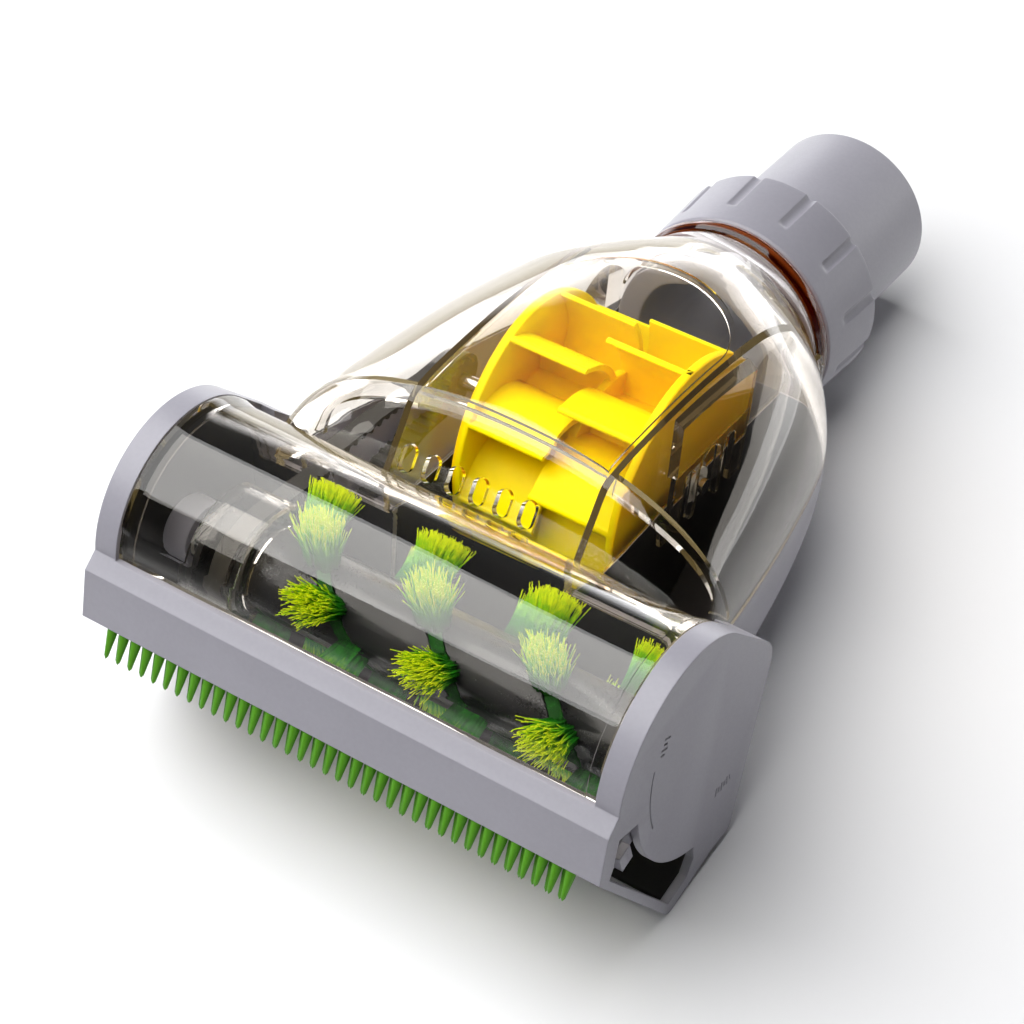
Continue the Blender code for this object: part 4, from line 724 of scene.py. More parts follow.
def fibre_finish():
    """Nylon fibres: colour and gloss change with the distance from the roller's axis; the colour is
    painted darker towards the root, a painted shade.
    """
    material, tree, shader = new_material("bristle_nylon")
    place = add(tree, "ShaderNodeTexCoord").outputs["Object"]
    share = ranged(tree, from_axis(tree, ROLLER_AXIS)[1], CORE_RADIUS, FIBRE_REACH, 0.0, 1.0)
    share = math_node(tree, "ADD", share,
                      ranged(tree, noise(tree, place, 700.0), 0.3, 0.7, -0.10, 0.10))
    tree.links.new(colour_ramp(tree, share, NYLON_HUE_AND_SHADE_STOPS), shader.inputs["Base Color"])
    tree.links.new(ranged(tree, share, 0.0, 1.0, 0.62, 0.36), shader.inputs["Roughness"])
    shader.inputs["Specular IOR Level"].default_value = 0.2
    return material


nylon = fibre_finish()
for row, letter in enumerate("ab"):
    tufts = bristle_row(f"bristle_tufts_{letter}", row, nylon, seed=11 + row)
    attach(tufts, "roller")
    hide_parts(f"bristle_row_{letter}")

# Belt drive. Two toothed pulleys in black plastic, pressed on the roller and on the turbine's
# shaft, and a rubber timing belt with its teeth inside.
pulley_black = plastic("pulley_black", (0.016, 0.016, 0.018, 1.0), 0.42, 2400.0, 0.000008,
                       0.00015)
belt_rubber = plastic("belt_rubber", (0.024, 0.023, 0.022, 1.0), 0.66, 5200.0, 0.00003, 0.0001)
for name, node, body, finish, kind in (
        ("roller_gear", "roller_pulley", "roller", pulley_black, "black_plastic"),
        ("drive_gear", "drive_pulley", "turbine", pulley_black, "black_plastic"),
        ("belt", "timing_belt", "nozzle", belt_rubber, "black_rubber")):
    piece = merged_copy(name, node, finish, sharp=24.0)
    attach(piece, body)
    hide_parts(node)

# Turbine wheel. Bright yellow plastic, moulded in one: a hub between two discs, a ring in the
# middle, and two rows of bowed blades set half a pitch apart. It is pressed on its shaft.
WHEEL_RADIUS = 0.0304
WHEEL_HALF = 0.0215
HUB_RADIUS = 0.0125
DISC_THICK = 0.0022
WHEEL_BORE = 0.0023
BLADES = 9
BLADE_THICK = 0.0020
BLADE_LEAN = 32.0
BLADE_TAPER = (1.25, 0.90)       # share of the thickness at the hub and at the rim
BLADE_SINK = 0.0004              # into the end disc
BLADE_PAST = 0.3                 # share of the middle web that a blade runs into
WEB_RISE = 0.0055
WHEEL_EASE = 0.0004
WHEEL_PALE = (1.0, 0.80, 0.0, 1.0)
# an orange painted for shade on the wheel
WHEEL_PAINTED_SHADE = (1.0, 0.34, 0.0, 1.0)


def eased(corners, radius, steps=4):
    """An outline whose corners are cut by arcs: each runs from one side to the other."""
    corners = np.asarray(corners, float)
    before = np.roll(corners, 1, axis=0) - corners
    after = np.roll(corners, -1, axis=0) - corners
    near, far = np.linalg.norm(before, axis=1), np.linalg.norm(after, axis=1)
    cut = np.minimum(radius, 0.45 * np.minimum(near, far))[:, None]
    start = corners + before / near[:, None] * cut
    end = corners + after / far[:, None] * cut
    s = np.linspace(0, 1, steps + 1)[None, :, None]
    bow = start[:, None] * (1 - s) ** 2 + corners[:, None] * 2 * s * (1 - s) + end[:, None] * s ** 2
    return bow.reshape(-1, 2)


def blade(name, turned_by, low, high):
    """A bowed blade: its middle line leans with the way from hub to rim to the power 1.5."""
    s = np.linspace(0, 1, 15)
    foot = HUB_RADIUS - BITE
    r = foot + (WHEEL_RADIUS - BITE - foot) * s
    lean = turned_by + math.radians(BLADE_LEAN) * s ** 1.5
    half = BLADE_THICK / 2 * (BLADE_TAPER[0] - (BLADE_TAPER[0] - BLADE_TAPER[1]) * s)
    sides = [np.column_stack((SHAFT_AXIS[0] + r * np.cos(lean + way * half / r),
                              SHAFT_AXIS[1] + r * np.sin(lean + way * half / r)))
             for way in (1, -1)]
    tip = (sides[0][-1] + sides[1][-1]) / 2
    out = (tip - SHAFT_AXIS) / np.linalg.norm(tip - SHAFT_AXIS)
    side = (sides[0][-1] - sides[1][-1]) / 2
    t = np.radians(np.linspace(20, 160, 6))[:, None]
    nose = tip + side * np.cos(t) + out * np.linalg.norm(side) * 0.8 * np.sin(t)
    return prism(name, np.vstack((sides[0], nose, sides[1][::-1])), low, high)


t, h = DISC_THICK, WHEEL_HALF
web = HUB_RADIUS + WEB_RISE
wheel_profile = eased([(-h, WHEEL_BORE), (-h, WHEEL_RADIUS), (-h + t, WHEEL_RADIUS),
                       (-h + t, HUB_RADIUS), (-t / 2, HUB_RADIUS), (-t / 2, web), (t / 2, web),
                       (t / 2, HUB_RADIUS), (h - t, HUB_RADIUS), (h - t, WHEEL_RADIUS),
                       (h, WHEEL_RADIUS), (h, WHEEL_BORE)], WHEEL_EASE)
yellow = plastic("wheel_yellow", (1.0, 0.74, 0.0, 1.0), 0.40, 1500.0, 0.000012, 0.0005,
                 gloss=0.08)
# Painted shade: the yellow turns orange towards the hub and on the outer faces of the end discs,
# where shade falls. Light goes a little way into the plastic.
wheel_nodes = yellow.node_tree
hub_way, hub_distance = from_axis(wheel_nodes, (0.0, *SHAFT_AXIS))
sideways = math_node(wheel_nodes, "ABSOLUTE", add(wheel_nodes, "ShaderNodeSeparateXYZ", {0: hub_way}).outputs[0])
end_shade_share = ranged(wheel_nodes, sideways, WHEEL_HALF - 0.0012, WHEEL_HALF - 0.0002, 0.0, 0.4)
hub_shade_share = ranged(wheel_nodes, hub_distance, HUB_RADIUS, WHEEL_RADIUS, 0.35, 0.0)
wheel_nodes.links.new(colour_ramp(wheel_nodes, math_node(wheel_nodes, "MAXIMUM", end_shade_share, hub_shade_share),
                          ((0.0, WHEEL_PALE), (1.0, WHEEL_PAINTED_SHADE))),
              wheel_nodes.nodes["Group"].inputs["Colour"])
yellow_skin = wheel_nodes.nodes["Principled BSDF"].inputs
yellow_skin["Subsurface Weight"].default_value = 0.2
yellow_skin["Subsurface Radius"].default_value = (1.0, 0.45, 0.02)
yellow_skin["Subsurface Scale"].default_value = 0.006
wheel = turned("yellow_wheel", wheel_profile, SHAFT_AXIS, "X", yellow)
blades = []
for name, low, high, phase in (("left", -h + t - BLADE_SINK, t * BLADE_PAST, 0.0),
                               ("right", -t * BLADE_PAST, h - t + BLADE_SINK, 0.5)):
    for i in range(BLADES):
        turn = 2 * math.pi * (i + phase) / BLADES
        blades.append(plus(blade(f"blade_{name}_{i}", turn, low, high)))
wheel = worked(wheel, *blades)
smoothed(wheel.data)
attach(wheel, "turbine")
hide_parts("turbine_wheel")

# Turbine shaft and bearings. A ground steel pin, and two flanged white bushes that snap into
# the walls of the air duct.
steel = plastic("ground_steel", (0.60, 0.60, 0.62, 1.0), 0.22, 4000.0, 0.000003, 0.0001, 1.0)
shaft = merged_copy("wheel_shaft", "turbine_shaft", steel)
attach(shaft, "turbine")
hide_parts("turbine_shaft")
for side in ("left", "right"):
    bush = merged_copy(f"shaft_bush_{side}", f"turbine_bearing_{side}", bush_white)
    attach(bush, "nozzle")
    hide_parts(f"turbine_bearing_{side}")

# Clear cover. One moulding in faintly smoky, clear plastic: the dome over the roller, the ramp
# with its row of vents, the bell, the walls of the air duct and their ribs, and the upper half
# of the neck. It is clipped on the housing along the parting plane.
DOME_HALF = 0.0614
DOME_LIP = 0.0030
DOME_LIP_WALL = 0.0024
DOME_DIP = 1.0
COVE_WIDTH = 0.0046      # the pale rise along either end seam of the dome
COVE_RISE = 0.0007
COVE_FLAT = 0.0012
COVE_SHY = 0.0001
COVE_FOOT = 0.002
WALL_ENDS = 0.0775
CUTTER_STEPS = 120
BORE_FRONT = 0.1500
RIB_BASE = 0.002
BRACKET = ((0.0268, 0.0283), (0.0900, 0.1220))
BRACKET_FINGERS = (-0.0075, 0.0120)
BRACKET_STEM = (0.0100, 0.05)
BRACKET_END = 0.04
BRACKET_BASE = -0.03
BRACKET_SLOT_PITCH = 0.0088
BRACKET_SLOTS = ((0.0023, 0.0060), (0.0046, 0.0052), (0.0023, 0.0060))   # half width, top
BRACKET_SLOT_FOOT = -0.02
CLIP = ((0.0268, -0.0034), (0.0268, 0.00015), (0.0252, 0.0040), (0.0274, 0.0040),
        (0.0283, 0.0010), (0.0283, -0.0034))
CLIP_ENDS = (0.1562, 0.1589)
SLOT_REACH = (0.0505, 0.0591)            # of the belt's slot, above the parting plane
SLOT_TOP = 0.0075
RIB_Y = 0.0662
RIB_THICK = 0.0012
RIB_DEPTH = 0.0034
BEAD_HALF = 0.0242
BEAD_WIDTH = 0.0014
BEAD_SIDE_END = 0.1120
BEAD_REAR = 0.1330
BEAD_RISE = -0.0005
BEAD_DROP = 0.0032
VENTS = 6
VENT_FIRST = -0.0205
VENT_PITCH = 0.0063
VENT_HALF = 0.0018
VENT_REACH = 0.0015
VENT_HEIGHT = 0.0165
VENT_DEPTH = 0.005
SLOPE_STEP = 0.001
CLEAR = (0.985, 0.975, 0.955, 1.0)
CLEAR_DEEP = (0.84, 0.60, 0.30, 1.0)
CLEAR_SHADE = (0.95, 0.935, 0.90, 1.0)
CLEAR_DENSITY = 28.0
CLEAR_HAZE = 0.02
CLEAR_EDGE = (0.50, 0.47, 0.34, 1.0)


def dome_disc(radius):
    """The dome's round, a little past the half turn."""
    return arc(ARCH_CENTRE, radius, -DOME_DIP, 180 + DOME_DIP, 96)


def strip_below_skin(name, path, width, rise, drop):
    """A rib that follows a closed path (x, y) under the bell's skin.

    At each point the skin's height is h (1 - |x / w|^n)^(1/n); the rib's section is a box as
    wide as asked, from a rise above the middle of the wall to a drop below its inside.
    """
    path = np.asarray(path, float)
    ahead = np.roll(path, -1, axis=0) - np.roll(path, 1, axis=0)
    ahead /= np.linalg.norm(ahead, axis=1)[:, None]
    across = np.column_stack((-ahead[:, 1], ahead[:, 0])) * width / 2
    corners = []
    for side, top in ((1, True), (-1, True), (-1, False), (1, False)):
        x, y = (path + side * across).T
        w, h, _, n, _ = along_neck(y).T
        skin = h * (1 - np.minimum(np.abs(x / w), 0.999) ** n) ** (1 / n)
        corners.append(np.column_stack((x, y, skin + rise if top else skin - drop)))
    points = np.stack(corners, 1).reshape(-1, 3)
    return surface(name, points, grid_faces(len(path), 4, True, True).tolist())


def panel_path(half, front, side_end, rear):
    """The bead round the top panel: straight front and sides, a half ellipse at the rear."""
    t = np.linspace(0, np.pi, 49)
    curve = np.column_stack((half * np.cos(t), side_end + (rear - side_end) * np.sin(t)))
    left = np.column_stack((np.full(24, -half), np.linspace(side_end, front, 26)[1:-1]))
    bar = np.column_stack((np.linspace(-half, half, 26), np.full(26, front)))
    right = np.column_stack((np.full(24, half), np.linspace(front, side_end, 26)[1:-1]))
    return np.vstack((curve, left, bar, right))


def cross_rib(name, y, thick, depth):
    """A rib across the side chambers: the section's wall, deepened inwards."""
    at = np.array((y, y + thick))
    outer = bell_rings(at, COVER / 2, RIB_BASE)
    inner = bell_rings(at, COVER + depth, RIB_BASE)
    return skinned(name, np.concatenate((outer, inner[:, ::-1]), axis=1))


def vent(name, x, y, z, slope, half, reach, depth):
    """An oval cutter square to the ramp: two half circles joined by straight sides."""
    t = np.linspace(0, np.pi, 17)
    oval = np.column_stack((half * np.cos(t), reach + half * np.sin(t)))
    oval = np.vstack((oval, -oval))
    along, square = (math.cos(slope), math.sin(slope)), (-math.sin(slope), math.cos(slope))
    rings = [np.column_stack((x + oval[:, 0], y + along[0] * oval[:, 1] + square[0] * way,
                              z + along[1] * oval[:, 1] + square[1] * way))
             for way in (-depth, depth)]
    return skinned(name, np.stack(rings))


def rod(name, low, high, radius, centre, axis, sides=96):
    """A round bar along the X or Y axis."""
    t = 2 * np.pi * np.arange(sides) / sides
    first, second = centre[0] + radius * np.cos(t), centre[1] + radius * np.sin(t)
    rings = []
    for way in (low, high):
        along = np.full(sides, way)
        rings.append(np.stack((along, first, second) if axis == "X" else (first, along, second),
                              -1))
    return skinned(name, np.stack(rings))


def clear_finish(name, tint, shade, deep, density, edge, roughness):
    """Clear moulded plastic: bends light, lets lamps through, and darkens where it is thick.

    Light that is caught in a wall, seen along its length, ends in the plastic's edge colour.
    """
    material, tree, shader = new_material(name)
    output = tree.nodes["Material Output"]
    place = add(tree, "ShaderNodeTexCoord").outputs["Object"]
    flow, haze = noise(tree, place, 26.0, 1.0), noise(tree, place, 420.0, 3.0)
    shader.inputs["Base Color"].default_value = tint
    shader.inputs["IOR"].default_value = 1.5
    shader.inputs["Transmission Weight"].default_value = 1.0
    tree.links.new(ranged(tree, haze, 0.35, 0.75, roughness * 0.6, roughness * 1.8),
                   shader.inputs["Roughness"])
    bump = add(tree, "ShaderNodeBump", {"Height": flow, "Distance": 0.00012}).outputs[0]
    tree.links.new(bump, shader.inputs["Normal"])
    path = add(tree, "ShaderNodeLightPath").outputs
    caught = math_node(tree, "MAXIMUM",
                       math_node(tree, "GREATER_THAN", path["Glossy Depth"], 1.5),
                       math_node(tree, "GREATER_THAN", path["Transmission Depth"], 8.5))
    body = add(tree, "ShaderNodeBsdfDiffuse", {"Color": edge}).outputs[0]
    lamp = add(tree, "ShaderNodeBsdfTransparent", {"Color": shade}).outputs[0]
    seen = add(tree, "ShaderNodeMixShader", {0: caught, 1: shader.outputs[0], 2: body}).outputs[0]
    seen = add(tree, "ShaderNodeMixShader",
               {0: path["Is Shadow Ray"], 1: seen, 2: lamp}).outputs[0]
    tree.links.new(seen, output.inputs["Surface"])
    inside = add(tree, "ShaderNodeVolumeAbsorption", {"Color": deep, "Density": density})
    tree.links.new(inside.outputs[0], output.inputs["Volume"])
    return material


clear = clear_finish("clear_smoke_plastic", CLEAR, CLEAR_SHADE, CLEAR_DEEP, CLEAR_DENSITY,
                     CLEAR_EDGE, CLEAR_HAZE)
start = math.degrees(math.asin((PART_GAP - ARCH_CENTRE[1]) / DOME_RADIUS))
cover = prism("clear_cover", arc(ARCH_CENTRE, DOME_RADIUS, start, 180 - start, CUTTER_STEPS),
              -DOME_HALF, DOME_HALF, clear)
dome_room = worked(
    prism("dome_room", dome_disc(DOME_RADIUS - COVER), -DOME_HALF + DOME_LIP, DOME_HALF - DOME_LIP),
    plus(prism("lip_room", dome_disc(DOME_RADIUS - DOME_LIP_WALL), -DOME_HALF - PAST,
               DOME_HALF + PAST)))
duct_room = worked(bell("duct_room", True, COVER, -PAST, PARTITION_Y - PAST, NECK_END + PAST),
                   within(block("duct_width", (-DUCT_HALF, DUCT_HALF), (0.0, REAR), DEEP)))
work = [plus(bell("bell_outside")), less(dome_room), less(duct_room)]
for side in (1, -1):
    wide = sorted((side * (DUCT_HALF + DUCT_WALL), side * HALF))
    round_dome = arc(ARCH_CENTRE, DOME_RADIUS - GAP, 0, 360, CUTTER_STEPS)[:-1]
    work.append(less(worked(
        bell(f"chamber_{side}", True, COVER, -PAST, PARTITION_Y - PAST, CHAMBER_END),
        within(block("chamber_width", wide, (0.0, REAR), DEEP)),
        less(prism("dome_wall", round_dome, -WALL_ENDS, WALL_ENDS)))))
work += [plus(half_turned("neck_upper", neck_profile, True)),
         less(rod("neck_bore", BORE_FRONT, NECK_END + PAST, SPIGOT_RADIUS + GAP, (0.0, 0.0), "Y"))]
rib_room = (-DUCT_HALF - BITE, DUCT_HALF + BITE)
work.append(plus(worked(cross_rib("cross_rib", RIB_Y, RIB_THICK, RIB_DEPTH),
                        less(block("rib_duct", rib_room, (0.0, REAR), DEEP)))))

# The slotted bracket that holds the right bush of the shaft, under the skin of the bell.
stem = (DUCT_HALF + DUCT_WALL - BITE, BRACKET[0][1])
bracket = worked(block("bracket", stem, BRACKET[1], BRACKET_STEM),
                 plus(block("bracket_fingers", *BRACKET, BRACKET_FINGERS)))
for i, (wide, top) in enumerate(BRACKET_SLOTS):
    y = SHAFT_AXIS[0] + (i - 1) * BRACKET_SLOT_PITCH
    slot = np.vstack(((y - wide, BRACKET_SLOT_FOOT), (y + wide, BRACKET_SLOT_FOOT),
                      arc((y, top), wide, 0, 180, 24)))
    bracket = worked(bracket, less(prism(f"bracket_slot_{i}", slot, DUCT_HALF + DUCT_WALL,
                                         BRACKET_END)))
under_skin = bell("bracket_skin", True, COVER / 2, BRACKET_BASE)
work.append(plus(worked(bracket, within(under_skin))))
for side in (1, -1):
    clip = np.array(CLIP) * (side, 1)
    ends = [np.column_stack((clip[:, 0], np.full(len(clip), y), clip[:, 1])) for y in CLIP_ENDS]
    work.append(plus(skinned(f"clip_{side}", np.stack(ends))))
bead_path = panel_path(BEAD_HALF, RIB_Y, BEAD_SIDE_END, BEAD_REAR)
work += [less(rod("cover_saddle", -SADDLE_HALF, SADDLE_HALF, SADDLE_RADIUS, SHAFT_AXIS, "X")),
         less(block("belt_slot_above", BELT_SLOT, SLOT_REACH, (-PAST, SLOT_TOP))),
         plus(strip_below_skin("panel_bead", bead_path, BEAD_WIDTH, BEAD_RISE, BEAD_DROP))]

# The vents stand in a row across the ramp, square to its slope.
ramp = np.linspace(STATIONS[0, 0], STATIONS[3, 0], 400)
vent_y = float(np.interp(VENT_HEIGHT, along_neck(ramp)[:, 1], ramp))
lower, upper = along_neck(vent_y + np.array((-0.5, 0.5)) * SLOPE_STEP)[:, 1]
slope = math.atan2(upper - lower, SLOPE_STEP)
for i in range(VENTS):
    work.append(less(vent(f"vent_{i}", VENT_FIRST + VENT_PITCH * i, vent_y, VENT_HEIGHT,
                          slope, VENT_HALF, VENT_REACH, VENT_DEPTH)))

# The coves rise along the two end seams of the dome; each is turned and cut to the dome's part.
cove_reach = DOME_RADIUS - COVE_FLAT
cove_part = ((-HALF, HALF), (ARCH_CENTRE[0] - cove_reach, ARCH_CENTRE[0] + cove_reach),
             (COVE_FOOT, TOP))
for side in (1, -1):
    cove = [(side * (DOME_HALF - inwards), DOME_RADIUS + rise)
            for inwards, rise in ((COVE_WIDTH, -BITE), (COVE_WIDTH, -COVE_SHY),
                                  (COVE_FLAT, COVE_RISE), (COVE_SHY, COVE_RISE),
                                  (COVE_SHY, -BITE))]
    work.append(plus(worked(turned(f"cove_{side}", cove, ARCH_CENTRE, "X", None),
                            within(block("cove_part", *cove_part)))))
cover = worked(cover, *work)
smoothed(cover.data)
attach(cover, "nozzle")
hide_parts("upper_cover")

# Belt guard. A shield in the same clear plastic over the belt end of the roller; its cheek
# stands on the wall behind the roller.
guard = merged_copy("clear_guard", "belt_guard", clear, sharp=24.0)
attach(guard, "nozzle")
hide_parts("belt_guard")

# Neck ring. An amber clear ring that closes the joint between cover and collar.
RING_FRONT = NECK_END + GAP
RING_LENGTH = 0.0036
RING_RADIUS = 0.0272
RING_STEPS = ((0.0, -0.0008), (0.0012, 0.0), (0.0028, 0.0), (RING_LENGTH, -0.0006))
RING_EASE = 0.0003
amber = clear_finish("clear_amber_plastic", (0.90, 0.55, 0.16, 1.0), (0.85, 0.50, 0.16, 1.0),
                     (0.75, 0.28, 0.04, 1.0), 220.0, (0.35, 0.12, 0.01, 1.0), 0.03)
ring_profile = eased([(RING_FRONT, SPIGOT_RADIUS + GAP),
                      *((RING_FRONT + way, RING_RADIUS + rise) for way, rise in RING_STEPS),
                      (RING_FRONT + RING_LENGTH, SPIGOT_RADIUS + GAP)], RING_EASE)
ring = turned("amber_ring", ring_profile, (0.0, 0.0), "Y", amber)
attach(ring, "nozzle")
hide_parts("neck_ring")

# Lock collar. Grey, moulded like the housing; it turns a short way on the neck to free the
# hose tube, and has finger flutes along its rear half.
COLLAR_FRONT = 0.1632
COLLAR_REAR = 0.1847
COLLAR_RADII = (0.0272, 0.0282)
COLLAR_INNER = 0.0247
COLLAR_HOLE = 0.0218
COLLAR_LIP = 0.0055
FLUTES = 12
FLUTE_LENGTH = 0.0150
FLUTE_RADIUS = 0.0018
FLUTE_SINK = 0.0008
COLLAR_SIDES = 480
COLLAR_ROWS = 44
COLLAR_EASE = (0.0007, 0.0006)   # length and depth of the rounding at either end
HOLE_EASE = 0.0004


def collar_surface(name, material):
    """A sleeve whose outside sinks at each flute.

    Along the axis the outside widens evenly; the sink is the height of a circle's cap over the
    distance from the flute's middle, times a smooth step at the flute's front end.
    """
    t = 2 * np.pi * np.arange(COLLAR_SIDES) / COLLAR_SIDES
    way = np.linspace(0, 1, COLLAR_ROWS)
    y = COLLAR_FRONT + (COLLAR_REAR - COLLAR_FRONT) * way
    plain = COLLAR_RADII[0] + (COLLAR_RADII[1] - COLLAR_RADII[0]) * way
    pitch = 2 * np.pi / FLUTES
    off = (np.mod(t, pitch) - pitch / 2) * COLLAR_RADII[1]
    cap = np.sqrt(np.maximum(FLUTE_RADIUS ** 2 - off ** 2, 0.0)) - (FLUTE_RADIUS - FLUTE_SINK)
    start = np.clip((y - (COLLAR_REAR - FLUTE_LENGTH)) / FLUTE_RADIUS, 0, 1)
    step = start * start * (3 - 2 * start)
    ends = np.minimum(1 - way, way) * (COLLAR_REAR - COLLAR_FRONT)
    ease = COLLAR_EASE[1] * (1 - np.clip(ends / COLLAR_EASE[0], 0, 1)) ** 2
    outside = plain[:, None] - np.maximum(cap, 0.0)[None, :] * step[:, None] - ease[:, None]
    inside = np.array(((COLLAR_REAR, COLLAR_HOLE + HOLE_EASE),
                       (COLLAR_REAR - HOLE_EASE, COLLAR_HOLE),
                       (COLLAR_REAR - COLLAR_LIP, COLLAR_HOLE),
                       (COLLAR_REAR - COLLAR_LIP, COLLAR_INNER), (COLLAR_FRONT, COLLAR_INNER)))
    radius = np.vstack((outside, np.repeat(inside[:, 1:], COLLAR_SIDES, axis=1)))
    place = np.concatenate((y, inside[:, 0]))[:, None]
    points = np.stack(np.broadcast_arrays(radius * np.cos(t), place, radius * np.sin(t)), -1)
    faces = grid_faces(len(radius), COLLAR_SIDES, True, True).tolist()
    return surface(name, points.reshape(-1, 3), faces, material)


collar = collar_surface("fluted_collar", grey)
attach(collar, "collar")
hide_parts("lock_collar")

# Hose tube. Grey, turned inside to take the vacuum's wand; a flange behind the neck traps it,
# and it swivels freely.
TUBE_RADIUS = 0.0214
TUBE_FRONT = 0.1485
TUBE_END = 0.2222
TUBE_BORE = 0.0170
FLANGE = (0.0030, 0.0234)        # length and radius
WAND_BORE = (0.0176, 0.0172)     # radius at the mouth and at the shoulder
WAND_DEPTH = 0.036
TUBE_EASE = 0.0006
tube_profile = eased([(TUBE_FRONT, TUBE_BORE), (TUBE_FRONT, FLANGE[1]),
                      (TUBE_FRONT + FLANGE[0], FLANGE[1]), (TUBE_FRONT + FLANGE[0], TUBE_RADIUS),
                      (TUBE_END, TUBE_RADIUS), (TUBE_END, WAND_BORE[0]),
                      (TUBE_END - WAND_DEPTH, WAND_BORE[1]), (TUBE_END - WAND_DEPTH, TUBE_BORE)],
                     TUBE_EASE)
tube = turned("swivel_tube", tube_profile, (0.0, 0.0), "Y", grey)
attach(tube, "tube")
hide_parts("hose_tube")

# Comb strip. Green rubber, slid into the channel under the front bar; two rows of round,
# tapering teeth stand out of it and lift hair and lint from the cloth.
COMB_HALF = 0.0630
COMB_START = 0.0008
COMB_WIDTH = 0.0046
COMB_DEPTH = 0.0022
COMB_TEETH = 37
COMB_ROW_STEP = 0.0026
TOOTH_LENGTH = 0.0068
TOOTH_RADIUS = 0.00125
TOOTH_TIP = 0.00042
TOOTH_RINGS = 9
TOOTH_SIDES = 14
TOOTH_LEAN = math.radians(25.0)
TOOTH_MARGIN = 0.003
ROWS_MIDDLE = 0.0031
COMB_EASE = 0.0004


def comb(name, material):
    """Strip and teeth. A tooth is a circle carried out of the sole, its radius falling evenly
    and closing over the tip like a quarter circle. The rows stand half a step apart, and the
    teeth lean back from the mouth."""
    corners = eased([(COMB_START, 0.0), (COMB_START + COMB_WIDTH, 0.0),
                     (COMB_START + COMB_WIDTH, COMB_DEPTH), (COMB_START, COMB_DEPTH)], COMB_EASE)
    flat = BAR_FOOT + corners[:, :1] * SOLE_ALONG + corners[:, 1:] * SOLE_IN
    strip = np.stack([np.column_stack((np.full(len(flat), x), flat))
                      for x in (-COMB_HALF, COMB_HALF)])
    points = [strip.reshape(-1, 3)]
    count = len(flat)
    faces = skin_faces(2, count)
    step = 2 * (COMB_HALF - TOOTH_MARGIN) / (COMB_TEETH - 1)
    feet = np.array([(-COMB_HALF + TOOTH_MARGIN + step * (i + row / 2),
                      ROWS_MIDDLE + (row - 0.5) * COMB_ROW_STEP)
                     for row in range(2) for i in range(COMB_TEETH - row)])
    out = -BITE + (TOOTH_LENGTH + BITE) * np.linspace(0, 1, TOOTH_RINGS) ** 0.8
    near_tip = np.clip((out - (TOOTH_LENGTH - TOOTH_TIP)) / TOOTH_TIP, 0, 0.985)
    radius = ((TOOTH_RADIUS + (TOOTH_TIP - TOOTH_RADIUS) * np.clip(out / TOOTH_LENGTH, 0, 1))
              * np.sqrt(1 - near_tip ** 2))
    t = 2 * np.pi * np.arange(TOOTH_SIDES) / TOOTH_SIDES
    x = feet[:, 0, None, None] + radius[None, :, None] * np.cos(t)
    along = feet[:, 1, None, None] + radius[None, :, None] * np.sin(t)
    lean = SOLE_IN * math.cos(TOOTH_LEAN) - SOLE_ALONG * math.sin(TOOTH_LEAN)
    yz = (BAR_FOOT + along[..., None] * SOLE_ALONG
          - np.broadcast_to(out[None, :, None], along.shape)[..., None] * lean)
    teeth = np.concatenate((x[..., None], yz), -1)
    points.append(teeth.reshape(-1, 3))
    size = TOOTH_RINGS * TOOTH_SIDES
    starts = 2 * count + size * np.arange(len(feet))
    for part in (grid_faces(TOOTH_RINGS, TOOTH_SIDES, round_columns=True), [range(TOOTH_SIDES)],
                 [range(size - TOOTH_SIDES, size)]):
        faces += repeated(part, starts)
    return surface(name, np.vstack(points), faces, material, sharp=50.0)


green = plastic("comb_rubber", (0.075, 0.27, 0.006, 1.0), 0.46, 1200.0, 0.00001, 0.0002,
                gloss=0.25)
comb_piece = comb("rubber_comb", green)
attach(comb_piece, "nozzle")
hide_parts("comb_strip")

# Table, lamps and camera. A plain pale table; a large soft lamp over the front left, a second one
# in the same place that only glossy faces show, for the broad band on the dome, and a low rim
# lamp behind. The room's own light comes from behind on the left and stays close to the table.
FLOOR_SIZE = 1.2
FLOOR_TONE = (0.86, 0.86, 0.87, 1.0)
PAINTED_REFLECTION_DARKENING = 0.85                          # painted reflection: what the dark screen in front takes from the table seen in a gloss
PAINTED_REFLECTION_GLOW = 1.3                         # painted reflection: the glow the bright wall behind on the left lends the table seen in a gloss
WALL_WAY = (-0.8, 0.6, 0.0)
WALL_GLOW = 2.6
SIDE_GLOW = 0.04
ROOM_GLOW = 0.03
HIGH_SHARE = 0.03                        # of the wall's light, above the table's near air
LARGE_LAMP = ((-0.36, -0.22, 0.80), (0.0, 0.03, 0.0), (1.3, 1.16))    # place, aim, size
RIM_LAMP = ((0.30, 0.84, 0.10), (0.0, 0.1, 0.0), (1.0, 0.34))


def dot(tree, vector, way):
    """How far a vector reaches in a direction."""
    return add(tree, "ShaderNodeVectorMath", {0: vector, 1: way},
               operation="DOT_PRODUCT").outputs["Value"]


